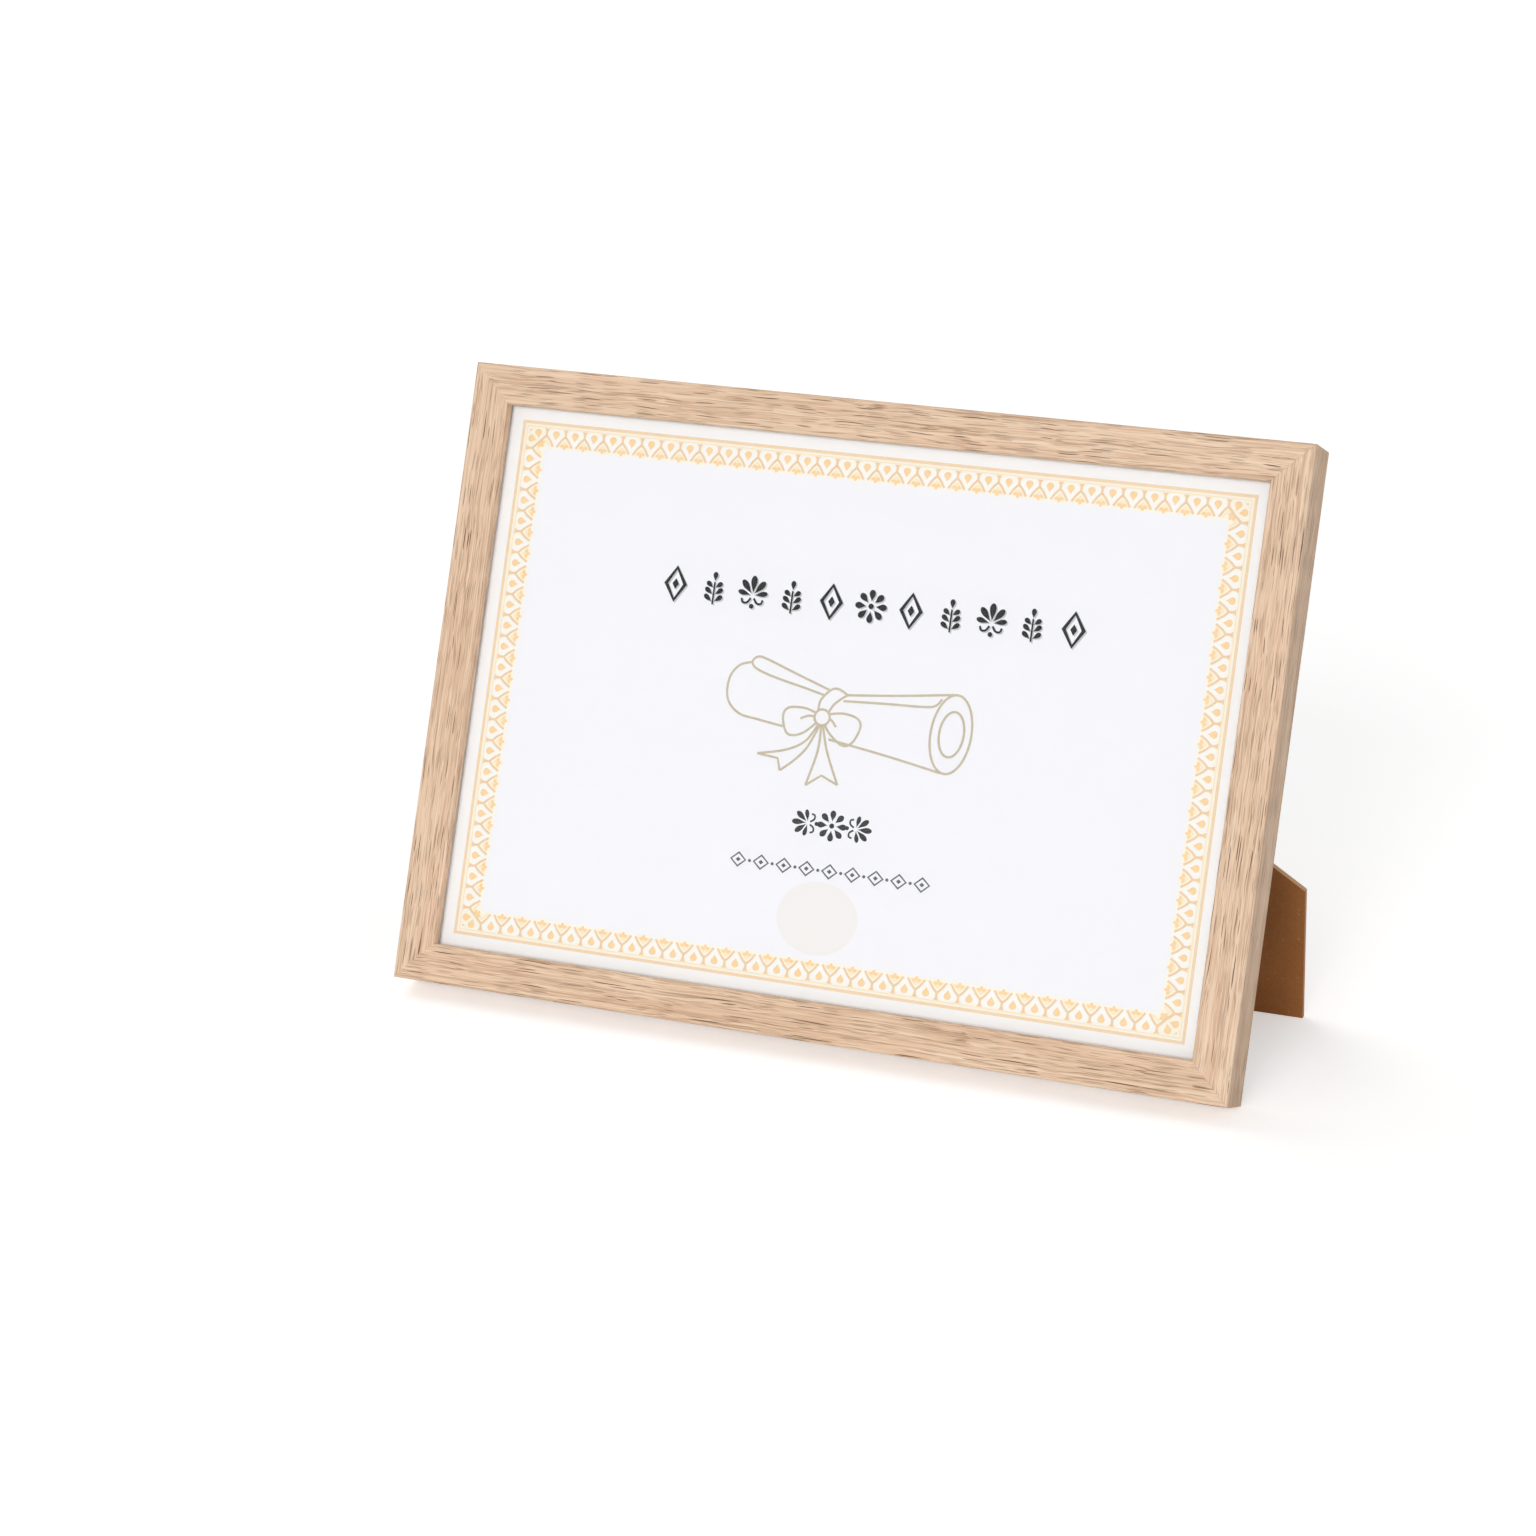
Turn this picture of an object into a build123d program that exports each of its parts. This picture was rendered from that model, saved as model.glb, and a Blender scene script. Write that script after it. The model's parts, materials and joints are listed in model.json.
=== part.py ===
"""Landscape certificate frame for an A4 sheet, leaning back on a folding hardboard leg.

The pieces are drawn in the frame's own directions: X runs across the frame, Z runs up the frame
from its bottom edge, and Y runs backwards from the rails' back plane, which is Y = 0. The finished
pieces are then leaned back on the bottom back edge and moved over their shared origin.
"""
import math
import os

from build123d import *

# The sheet and what is stacked behind the glazing
SHEET_LENGTH = 297.0
SHEET_HEIGHT = 210.0
SHEET_THICKNESS = 0.3
SHEET_CLEARANCE = 1.0
GLAZING_THICKNESS = 2.0
MOUNT_BOARD_THICKNESS = 1.4
FOAM_BOARD_THICKNESS = 5.0
BACK_BOARD_THICKNESS = 3.0
STACK_CLEARANCE = 0.5

# Oak rails
RAIL_FACE = 14.5
RAIL_DEPTH = 23.5
REBATE_WIDTH = 4.5
LIP_THICKNESS = 4.5
EDGE_ROUND = 0.9

# Corner nails, driven across each mitre from the back
NAIL_LEG = 4.0
NAIL_THICKNESS = 0.6
NAIL_HEIGHT = 7.0
NAIL_SUNK = 0.2
NAIL_FIRST = 2.6
NAIL_SPACING = 3.6

# How the frame stands
LEAN = 18.0
LEG_OPENING = 30.0
HINGE_BELOW_TOP = 48.0

# Leg, cut from hardboard
LEG_THICKNESS = 2.5
LEG_SIDE_INSET = 0.2
LEG_FOOT_WIDTH = 50.0
LEG_EDGE_HEIGHT = 55.0
LEG_SLANT = 35.0
LEG_NECK_WIDTH = 60.0
LEG_CORNER_ROUND = 0.8

# Hinge between the back board and the leg
HINGE_SIDE_INSET = 5.0
KNUCKLE_COUNT = 5
KNUCKLE_GAP = 0.3
LEAF_THICKNESS = 0.8
LEAF_REACH = 18.0
LEAF_CORNER_ROUND = 2.5
PIN_RADIUS = 1.0
PIN_CLEARANCE = 0.05
PIN_END_PROUD = 0.6
KNUCKLE_CLEARANCE = 0.15
STOP_GAP = 0.05

# Rivets of the hinge leaves
RIVET_RADIUS = 1.5
RIVET_HEAD_RADIUS = 2.7
RIVET_HEAD_HEIGHT = 0.8
RIVET_HEAD_ROUND = 0.5
RIVET_COUNT = 3
RIVET_END_MARGIN = 8.0
RIVET_FROM_AXIS = 12.5

# Turn buttons that hold the back board in
BUTTON_COUNT = 2
BUTTON_FROM_SIDE = 74.5
BUTTON_ARM = 15.0
BUTTON_THICKNESS = 1.0
BUTTON_PIVOT_ROUND = 4.4
BUTTON_TIP_ROUND = 3.2
BUTTON_EDGE_ROUND = 0.3
BUTTON_GAP = 0.1

# Pan head screws
SCREW_RADIUS = 1.3
SCREW_LENGTH = 9.0
SCREW_HEAD_RADIUS = 2.6
SCREW_HEAD_HEIGHT = 1.5
SCREW_HEAD_ROUND = 0.7
SCREW_SLOT_WIDTH = 0.6
SCREW_SLOT_LENGTH = 2.8
SCREW_SLOT_DEPTH = 0.8
HOLE_CLEARANCE = 0.05

# Keyhole hanger plates on the top and left rails
HANGER_LENGTH = 36.0
HANGER_HEIGHT = 9.2
HANGER_THICKNESS = 1.0
HANGER_CORNER_ROUND = 2.0
HANGER_SCREW_SPACING = 27.0
KEY_HEAD_RADIUS = 2.8
KEY_SLOT_RADIUS = 1.6
KEY_RISE = 2.6
POCKET_MARGIN = 0.3
POCKET_DEPTH = 3.5

# Lifting notch in the back board's lower edge
NOTCH_RADIUS = 9.0

# Sizes that follow from the ones above
REBATE_LENGTH = SHEET_LENGTH + 2 * SHEET_CLEARANCE
REBATE_HEIGHT = SHEET_HEIGHT + 2 * SHEET_CLEARANCE
OUTER_LENGTH = REBATE_LENGTH + 2 * (RAIL_FACE - REBATE_WIDTH)
OUTER_HEIGHT = REBATE_HEIGHT + 2 * (RAIL_FACE - REBATE_WIDTH)
MID_HEIGHT = OUTER_HEIGHT / 2
BACK_FACE = RAIL_FACE - REBATE_WIDTH
HINGE_HEIGHT = OUTER_HEIGHT - HINGE_BELOW_TOP
HINGE_WIDTH = LEG_NECK_WIDTH - 2 * HINGE_SIDE_INSET
RIVET_SPACING = (HINGE_WIDTH - 2 * RIVET_END_MARGIN) / (RIVET_COUNT - 1)
BUTTON_SPACING = (OUTER_LENGTH - 2 * BUTTON_FROM_SIDE) / (BUTTON_COUNT - 1)
PACKING_THICKNESS = (
    RAIL_DEPTH
    - LIP_THICKNESS
    - GLAZING_THICKNESS
    - SHEET_THICKNESS
    - MOUNT_BOARD_THICKNESS
    - FOAM_BOARD_THICKNESS
    - BACK_BOARD_THICKNESS
)
KNUCKLE_RADIUS = PIN_RADIUS + PIN_CLEARANCE + LEAF_THICKNESS
AXIS_HEIGHT = KNUCKLE_RADIUS + KNUCKLE_CLEARANCE
LEG_INNER = 2 * AXIS_HEIGHT
LEG_OUTER = LEG_INNER + LEG_THICKNESS
OPEN_RISE = math.radians(LEG_OPENING)
LEG_HEEL = (AXIS_HEIGHT * (1 + math.cos(OPEN_RISE)) - LEAF_THICKNESS - STOP_GAP) / math.sin(OPEN_RISE)
LEG_TILT = math.radians(LEG_OPENING - LEAN)
AXIS_ABOVE_FLOOR = HINGE_HEIGHT * math.cos(math.radians(LEAN)) - AXIS_HEIGHT * math.sin(math.radians(LEAN))
LEG_REACH = (AXIS_ABOVE_FLOOR + (LEG_OUTER - AXIS_HEIGHT) * math.sin(LEG_TILT)) / math.cos(LEG_TILT)


def slab(sketch, low, high):
    """A sketch in the frame's face plane, thickened from Y = low to Y = high."""
    return Pos(0, high, 0) * extrude(Plane.XZ * sketch, amount=high - low)


def rod(x, z, radius, low, high):
    """A round rod along Y."""
    return slab(Pos(x, z) * Circle(radius), low, high)


def panel(length, height, low, high):
    """A flat sheet centred in the frame's rebate."""
    return slab(Pos(0, MID_HEIGHT) * Rectangle(length, height), low, high)


def tapered_link(first, first_round, second, second_round):
    """The hull of two circles."""
    circles = [Pos(*first) * Circle(first_round), Pos(*second) * Circle(second_round)]
    return make_hull([edge for circle in circles for edge in circle.edges()])


# Rails
def bottom_rail(length):
    """A mitred rail with its outer side on Z = 0 and its length centred on X = 0."""
    front = -RAIL_DEPTH
    step = front + LIP_THICKNESS
    section = Polygon(
        (0, 0),
        (front, 0),
        (front, RAIL_FACE),
        (step, RAIL_FACE),
        (step, BACK_FACE),
        (0, BACK_FACE),
        align=None,
    )
    section = fillet(section.vertices().group_by(Axis.X)[0], EDGE_ROUND)
    bar = extrude(Plane.YZ * section, amount=length / 2, both=True)
    mitre = Polygon(
        (-length / 2, 0),
        (length / 2, 0),
        (length / 2 - RAIL_FACE, RAIL_FACE),
        (RAIL_FACE - length / 2, RAIL_FACE),
        align=None,
    )
    return bar & slab(mitre, front, 0)


RAIL_PLACES = {
    "rail_bottom": (Pos(0, 0, 0), OUTER_LENGTH),
    "rail_top": (Pos(0, 0, OUTER_HEIGHT) * Rot(0, 180, 0), OUTER_LENGTH),
    "rail_left": (Pos(-OUTER_LENGTH / 2, 0, MID_HEIGHT) * Rot(0, 90, 0), OUTER_HEIGHT),
    "rail_right": (Pos(OUTER_LENGTH / 2, 0, MID_HEIGHT) * Rot(0, -90, 0), OUTER_HEIGHT),
}


# Corner nails
def corner_nail(side, end, place):
    """An angle nail with its corner on the mitre and a leg in each rail."""
    corner_x = side * (OUTER_LENGTH / 2 - place)
    corner_z = MID_HEIGHT + end * (MID_HEIGHT - place)
    along = Rectangle(NAIL_LEG, NAIL_THICKNESS, align=(Align.MAX, Align.CENTER))
    down = Rectangle(NAIL_THICKNESS, NAIL_LEG, align=(Align.CENTER, Align.MAX))
    heel = Rectangle(NAIL_THICKNESS, NAIL_THICKNESS)
    angle = along + down + heel
    if side < 0:
        angle = mirror(angle, Plane.YZ)
    if end < 0:
        angle = mirror(angle, Plane.XZ)
    return slab(Pos(corner_x, corner_z) * angle, -NAIL_SUNK - NAIL_HEIGHT, -NAIL_SUNK)


def corner_nails():
    """Two nails in each of the four mitres."""
    places = [NAIL_FIRST, NAIL_FIRST + NAIL_SPACING]
    return [corner_nail(side, end, place) for side in (-1, 1) for end in (-1, 1) for place in places]


def nail_slots():
    """The slots that the nails fill, open to the back."""
    return [nail + Pos(0, NAIL_SUNK, 0) * nail for nail in corner_nails()]


# Screws
def pan_screw(x, z, seat):
    """A cross head screw along Y whose head rests at Y = seat."""
    top = seat + SCREW_HEAD_HEIGHT
    head = rod(x, z, SCREW_HEAD_RADIUS, seat, top)
    head = fillet(head.edges().group_by(Axis.Y)[-1], SCREW_HEAD_ROUND)
    bar = Rectangle(SCREW_SLOT_LENGTH, SCREW_SLOT_WIDTH)
    cross = Pos(x, z) * (bar + Rot(0, 0, 90) * bar)
    shank = rod(x, z, SCREW_RADIUS, seat - SCREW_LENGTH, seat)
    return head - slab(cross, top - SCREW_SLOT_DEPTH, top) + shank


def screw_hole(x, z, seat):
    """The pilot hole that a screw's shank fills in a rail."""
    return rod(x, z, SCREW_RADIUS + HOLE_CLEARANCE, seat - SCREW_LENGTH - HOLE_CLEARANCE, 0)


# Turn buttons
BUTTON_PLACES = {
    f"turn_button_{end_name}_{index + 1}": (
        (index - (BUTTON_COUNT - 1) / 2) * BUTTON_SPACING,
        MID_HEIGHT + end * (MID_HEIGHT - BACK_FACE / 2),
        end,
    )
    for end_name, end in (("top", 1), ("bottom", -1))
    for index in range(BUTTON_COUNT)
}
BUTTON_SCREW_SEAT = 2 * BUTTON_GAP + BUTTON_THICKNESS


def turn_button(x, z, end):
    """A flat tapered button, turned so that its tip lies over the back board."""
    outline = tapered_link((x, z), BUTTON_PIVOT_ROUND, (x, z - end * BUTTON_ARM), BUTTON_TIP_ROUND)
    top = BUTTON_GAP + BUTTON_THICKNESS
    button = slab(outline, BUTTON_GAP, top)
    button = fillet(button.edges().group_by(Axis.Y)[-1], BUTTON_EDGE_ROUND)
    return button - rod(x, z, SCREW_RADIUS + HOLE_CLEARANCE, BUTTON_GAP, top)


# Keyhole hangers, drawn at the middle of the top rail's back face and turned for the left rail
HANGER_PLACES = {
    "hanger_plate_top": Pos(0, 0, OUTER_HEIGHT - BACK_FACE / 2),
    "hanger_plate_side": Pos(BACK_FACE / 2 - OUTER_LENGTH / 2, 0, MID_HEIGHT) * Rot(0, -90, 0),
}
KEY_LOW = -KEY_RISE / 2
KEY_HIGH = KEY_RISE / 2


def hanger_plate():
    """A plate with a keyhole and two screw holes, flat on Y = 0."""
    plate = slab(RectangleRounded(HANGER_LENGTH, HANGER_HEIGHT, HANGER_CORNER_ROUND), 0, HANGER_THICKNESS)
    slot = tapered_link((0, KEY_LOW), KEY_SLOT_RADIUS, (0, KEY_HIGH), KEY_SLOT_RADIUS)
    plate -= slab(Pos(0, KEY_LOW) * Circle(KEY_HEAD_RADIUS), 0, HANGER_THICKNESS)
    plate -= slab(slot, 0, HANGER_THICKNESS)
    for side in (-1, 1):
        plate -= rod(side * HANGER_SCREW_SPACING / 2, 0, SCREW_RADIUS + HOLE_CLEARANCE, 0, HANGER_THICKNESS)
    return plate


def hanger_pocket():
    """The hollow behind a keyhole, for the head of a nail, and its two pilot holes."""
    pocket_round = KEY_HEAD_RADIUS + POCKET_MARGIN
    hollow = slab(tapered_link((0, KEY_LOW), pocket_round, (0, KEY_HIGH), pocket_round), -POCKET_DEPTH, 0)
    holes = [screw_hole(side * HANGER_SCREW_SPACING / 2, 0, HANGER_THICKNESS) for side in (-1, 1)]
    return [hollow] + holes


def hanger_screws():
    """Two screws for each hanger plate."""
    pair = [pan_screw(side * HANGER_SCREW_SPACING / 2, 0, HANGER_THICKNESS) for side in (-1, 1)]
    return [place * screw for place in HANGER_PLACES.values() for screw in pair]


# Rivets
RIVET_XS = [(index - (RIVET_COUNT - 1) / 2) * RIVET_SPACING for index in range(RIVET_COUNT)]


def rivet(x, z, low, high):
    """A rivet along Y, with a rounded head past each end of its hole."""
    body = rod(x, z, RIVET_RADIUS, low, high)
    upper = rod(x, z, RIVET_HEAD_RADIUS, high, high + RIVET_HEAD_HEIGHT)
    body += fillet(upper.edges().group_by(Axis.Y)[-1], RIVET_HEAD_ROUND)
    lower = rod(x, z, RIVET_HEAD_RADIUS, low - RIVET_HEAD_HEIGHT, low)
    return body + fillet(lower.edges().group_by(Axis.Y)[0], RIVET_HEAD_ROUND)


# Hinge
BOARD_RIVET_HEIGHT = HINGE_HEIGHT + RIVET_FROM_AXIS
LEG_RIVET_HEIGHT = HINGE_HEIGHT - RIVET_FROM_AXIS
KNUCKLE_PITCH = HINGE_WIDTH / KNUCKLE_COUNT
BOARD_KNUCKLES = range(0, KNUCKLE_COUNT, 2)
LEG_KNUCKLES = range(1, KNUCKLE_COUNT, 2)


def knuckle_middle(index):
    """The place of a knuckle along the hinge."""
    return (index - (KNUCKLE_COUNT - 1) / 2) * KNUCKLE_PITCH


def hinge_axis_place(x):
    """A place on the hinge's axis, with Z turned along it."""
    return Pos(x, AXIS_HEIGHT, HINGE_HEIGHT) * Rot(0, 90, 0)


def hinge_leaf(own, low, high, direction, rivet_height):
    """A leaf from Y = low to Y = high that runs up or down from its rolled knuckles."""
    start = KNUCKLE_RADIUS + KNUCKLE_GAP
    sheet = RectangleRounded(HINGE_WIDTH, 2 * LEAF_REACH, LEAF_CORNER_ROUND)
    half = Pos(0, direction * (start + LEAF_REACH)) * Rectangle(HINGE_WIDTH, 2 * LEAF_REACH)
    leaf = slab(Pos(0, HINGE_HEIGHT) * (sheet & half), low, high)
    knuckle_length = KNUCKLE_PITCH - KNUCKLE_GAP
    for index in own:
        x = knuckle_middle(index)
        strip = Pos(x, HINGE_HEIGHT + direction * start / 2) * Rectangle(knuckle_length, start)
        leaf += slab(strip, low, high)
        leaf += hinge_axis_place(x) * Cylinder(KNUCKLE_RADIUS, knuckle_length)
    leaf -= hinge_axis_place(0) * Cylinder(PIN_RADIUS + PIN_CLEARANCE, HINGE_WIDTH)
    for x in RIVET_XS:
        leaf -= rod(x, rivet_height, RIVET_RADIUS + HOLE_CLEARANCE, low, high)
    return leaf


def hinge_board_leaf():
    """The leaf riveted on the back board, above the axis."""
    return hinge_leaf(BOARD_KNUCKLES, 0, LEAF_THICKNESS, 1, BOARD_RIVET_HEIGHT)


def hinge_leg_leaf():
    """The leaf riveted on the leg's inner face, below the axis."""
    return hinge_leaf(LEG_KNUCKLES, LEG_INNER - LEAF_THICKNESS, LEG_INNER, -1, LEG_RIVET_HEIGHT)


def hinge_pin():
    """The pin, standing a little out of the outer knuckles."""
    return hinge_axis_place(0) * Cylinder(PIN_RADIUS, HINGE_WIDTH + 2 * PIN_END_PROUD)


def board_rivets():
    """The rivets of the board leaf, with their inner heads sunk in the back board."""
    low = RIVET_HEAD_HEIGHT - BACK_BOARD_THICKNESS
    return [rivet(x, BOARD_RIVET_HEIGHT, low, LEAF_THICKNESS) for x in RIVET_XS]


def leg_rivets():
    """The rivets of the leg leaf, through the leg."""
    low = LEG_INNER - LEAF_THICKNESS
    return [rivet(x, LEG_RIVET_HEIGHT, low, LEG_OUTER) for x in RIVET_XS]


# Boards
def back_board():
    """The hardboard back, flush with the rails, with a lifting notch and rivet holes."""
    length = REBATE_LENGTH - 2 * STACK_CLEARANCE
    height = REBATE_HEIGHT - 2 * STACK_CLEARANCE
    front = -BACK_BOARD_THICKNESS
    board = panel(length, height, front, 0)
    board -= rod(0, MID_HEIGHT - height / 2, NOTCH_RADIUS, front, 0)
    sunk = RIVET_HEAD_RADIUS + HOLE_CLEARANCE
    for x in RIVET_XS:
        board -= rod(x, BOARD_RIVET_HEIGHT, RIVET_RADIUS + HOLE_CLEARANCE, front, 0)
        board -= rod(x, BOARD_RIVET_HEIGHT, sunk, front, front + RIVET_HEAD_HEIGHT)
    return board


def leg_blank():
    """The leg folded flat, with a square end that is still to be cut level with the floor."""
    right = OUTER_LENGTH / 2 - LEG_SIDE_INSET
    foot_left = right - LEG_FOOT_WIDTH
    foot = HINGE_HEIGHT - LEG_REACH
    slope = math.tan(math.radians(LEG_SLANT))
    neck = LEG_NECK_WIDTH / 2
    top = HINGE_HEIGHT + LEG_HEEL
    outline = Polygon(
        (foot_left, foot),
        (right, foot),
        (right, foot + LEG_EDGE_HEIGHT),
        (neck, foot + LEG_EDGE_HEIGHT + (right - neck) * slope),
        (neck, top),
        (-neck, top),
        (-neck, foot + (foot_left + neck) * slope),
        align=None,
    )
    rounded = outline.vertices().filter_by(lambda vertex: foot < vertex.Y < top)
    blank = slab(fillet(rounded, LEG_CORNER_ROUND), LEG_INNER, LEG_OUTER)
    for x in RIVET_XS:
        blank -= rod(x, LEG_RIVET_HEIGHT, RIVET_RADIUS + HOLE_CLEARANCE, LEG_INNER, LEG_OUTER)
    return blank


def stack():
    """The glazing, the sheet and the boards behind it, from front to back."""
    layers = {}
    low = LIP_THICKNESS - RAIL_DEPTH
    thicknesses = {
        "glazing": (GLAZING_THICKNESS, STACK_CLEARANCE),
        "certificate_sheet": (SHEET_THICKNESS, SHEET_CLEARANCE),
        "mount_board": (MOUNT_BOARD_THICKNESS, STACK_CLEARANCE),
        "foam_board": (FOAM_BOARD_THICKNESS, STACK_CLEARANCE),
        "packing_card": (PACKING_THICKNESS, STACK_CLEARANCE),
    }
    for name, (thickness, clearance) in thicknesses.items():
        high = low + thickness
        layers[name] = panel(REBATE_LENGTH - 2 * clearance, REBATE_HEIGHT - 2 * clearance, low, high)
        low = high
    return layers


# Standing the frame up
def opened(piece):
    """Turns a folded piece of the leg about the hinge, to the open stop."""
    axis = Pos(0, AXIS_HEIGHT, HINGE_HEIGHT)
    return axis * Rot(LEG_OPENING, 0, 0) * axis.inverse() * piece


def leaned(piece):
    """Leans a piece back on the frame's bottom back edge."""
    return Rot(-LEAN, 0, 0) * piece


def rails():
    """The four rails with every slot, hole and pocket cut in them."""
    cuts = nail_slots()
    cuts += [screw_hole(x, z, BUTTON_SCREW_SEAT) for x, z, _ in BUTTON_PLACES.values()]
    cuts += [place * cut for place in HANGER_PLACES.values() for cut in hanger_pocket()]
    return {name: place * bottom_rail(length) - cuts for name, (place, length) in RAIL_PLACES.items()}


def model():
    """Every node in its place, with the origin under the middle of the whole part."""
    still = rails() | stack()
    still["back_board"] = back_board()
    still["corner_nails"] = corner_nails()
    still["hinge_board_leaf"] = hinge_board_leaf()
    still["hinge_pin"] = hinge_pin()
    still["board_rivets"] = board_rivets()
    still |= {name: turn_button(*place) for name, place in BUTTON_PLACES.items()}
    still["turn_button_screws"] = [pan_screw(x, z, BUTTON_SCREW_SEAT) for x, z, _ in BUTTON_PLACES.values()]
    still |= {name: place * hanger_plate() for name, place in HANGER_PLACES.items()}
    still["hanger_screws"] = hanger_screws()
    swung = {"leg": leg_blank(), "hinge_leg_leaf": hinge_leg_leaf(), "leg_rivets": leg_rivets()}
    nodes = {name: leaned(solids(piece)) for name, piece in still.items()}
    nodes |= {name: leaned(opened(solids(piece))) for name, piece in swung.items()}
    nodes["leg"] = split(nodes["leg"], bisect_by=Plane.XY, keep=Keep.TOP)
    middle = origin_place(nodes)
    return {name: middle * piece for name, piece in nodes.items()}


def solids(piece):
    """One shape for a node that may be a list of separate solids."""
    return Compound(piece) if isinstance(piece, list) else piece


def origin_place(nodes):
    """The move that brings the bottom centre of the whole box to the origin."""
    box = Compound(list(nodes.values())).bounding_box()
    return Pos(-(box.min.X + box.max.X) / 2, -(box.min.Y + box.max.Y) / 2, -box.min.Z)


os.makedirs("parts", exist_ok=True)
for name, piece in model().items():
    export_step(piece, f"parts/{name}.step")
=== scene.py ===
"""Looks for the landscape certificate frame: oak, glazing, printed sheet, hardboard and plated steel."""
import json
import math

import bmesh
import bpy
from mathutils import Matrix, Vector


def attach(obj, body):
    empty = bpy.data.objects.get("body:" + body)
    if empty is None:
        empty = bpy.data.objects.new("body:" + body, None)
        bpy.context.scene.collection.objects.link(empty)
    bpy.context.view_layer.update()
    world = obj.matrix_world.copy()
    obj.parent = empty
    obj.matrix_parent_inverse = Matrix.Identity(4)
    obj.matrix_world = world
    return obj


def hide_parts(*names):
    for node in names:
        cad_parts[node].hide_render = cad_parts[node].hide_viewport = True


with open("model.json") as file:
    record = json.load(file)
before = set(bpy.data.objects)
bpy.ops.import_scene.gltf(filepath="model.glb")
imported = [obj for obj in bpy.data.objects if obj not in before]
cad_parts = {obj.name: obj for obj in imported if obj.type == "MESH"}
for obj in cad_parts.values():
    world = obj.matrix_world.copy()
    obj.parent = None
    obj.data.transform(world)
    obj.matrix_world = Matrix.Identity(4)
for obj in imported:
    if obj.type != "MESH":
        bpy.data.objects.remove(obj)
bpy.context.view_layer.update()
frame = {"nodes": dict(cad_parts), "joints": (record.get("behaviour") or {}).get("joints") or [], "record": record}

MM = 0.001
ROOT = "frame"
LEG = "leg"

# The frame's own directions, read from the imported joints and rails
BACK = Vector(next(j["axis"] for j in frame["joints"] if j["name"] == "button_turn_top_1"))
UP = Vector((0.0, -BACK.z, BACK.y))
ACROSS = Vector((1.0, 0.0, 0.0))
LEAN = math.atan2(UP.y, UP.z)
EDGE = min((v.co for v in frame["nodes"]["rail_bottom"].data.vertices), key=lambda co: co.z)
BASE = Vector((0.0, EDGE.y, 0.0))


def span(node, direction):
    """The lowest and highest place of a node along a direction, from the bottom back edge."""
    places = [(v.co - BASE).dot(direction) for v in frame["nodes"][node].data.vertices]
    return min(places), max(places)


SHEET_LEFT, SHEET_RIGHT = span("certificate_sheet", ACROSS)
SHEET_LOW, SHEET_HIGH = span("certificate_sheet", UP)
SHEET_FRONT = span("certificate_sheet", BACK)[0]
SHEET_LENGTH = (SHEET_RIGHT - SHEET_LEFT) / MM
SHEET_HEIGHT = (SHEET_HIGH - SHEET_LOW) / MM
SHEET_MIDDLE = BASE + UP * (SHEET_LOW + SHEET_HIGH) / 2 + BACK * SHEET_FRONT


def added(name, data):
    """A new object of the scene, with its data."""
    thing = bpy.data.objects.new(name, data)
    bpy.context.scene.collection.objects.link(thing)
    return thing


# Camera, placed from the middle of the bottom back edge
CAMERA_OFFSET = Vector((0.4249, -1.21993, 0.48418))
CAMERA_HEADING = math.radians(20.08)
CAMERA_PITCH = math.radians(-16.455)
CAMERA_ROLL = math.radians(1.673)
CAMERA_LENS = 88.27
CAMERA_SENSOR = 36.0


def add_camera():
    """The photo's camera, with its lens, turn and tilt."""
    data = bpy.data.cameras.new("camera")
    data.lens = CAMERA_LENS
    data.sensor_width = CAMERA_SENSOR
    camera = added("camera", data)
    turn = (
        Matrix.Rotation(CAMERA_HEADING, 4, "Z")
        @ Matrix.Rotation(math.pi / 2 + CAMERA_PITCH, 4, "X")
        @ Matrix.Rotation(CAMERA_ROLL, 4, "Z")
    )
    camera.matrix_world = Matrix.Translation(BASE + CAMERA_OFFSET) @ turn
    bpy.context.scene.camera = camera


# Shader building
WHITE = (1.0, 1.0, 1.0, 1.0)
# A colour mix node's sockets: its factor and its two colours, and the colour that comes out
MIX_INPUTS = (0, 6, 7)
MIX_OUTPUT = 2


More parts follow.
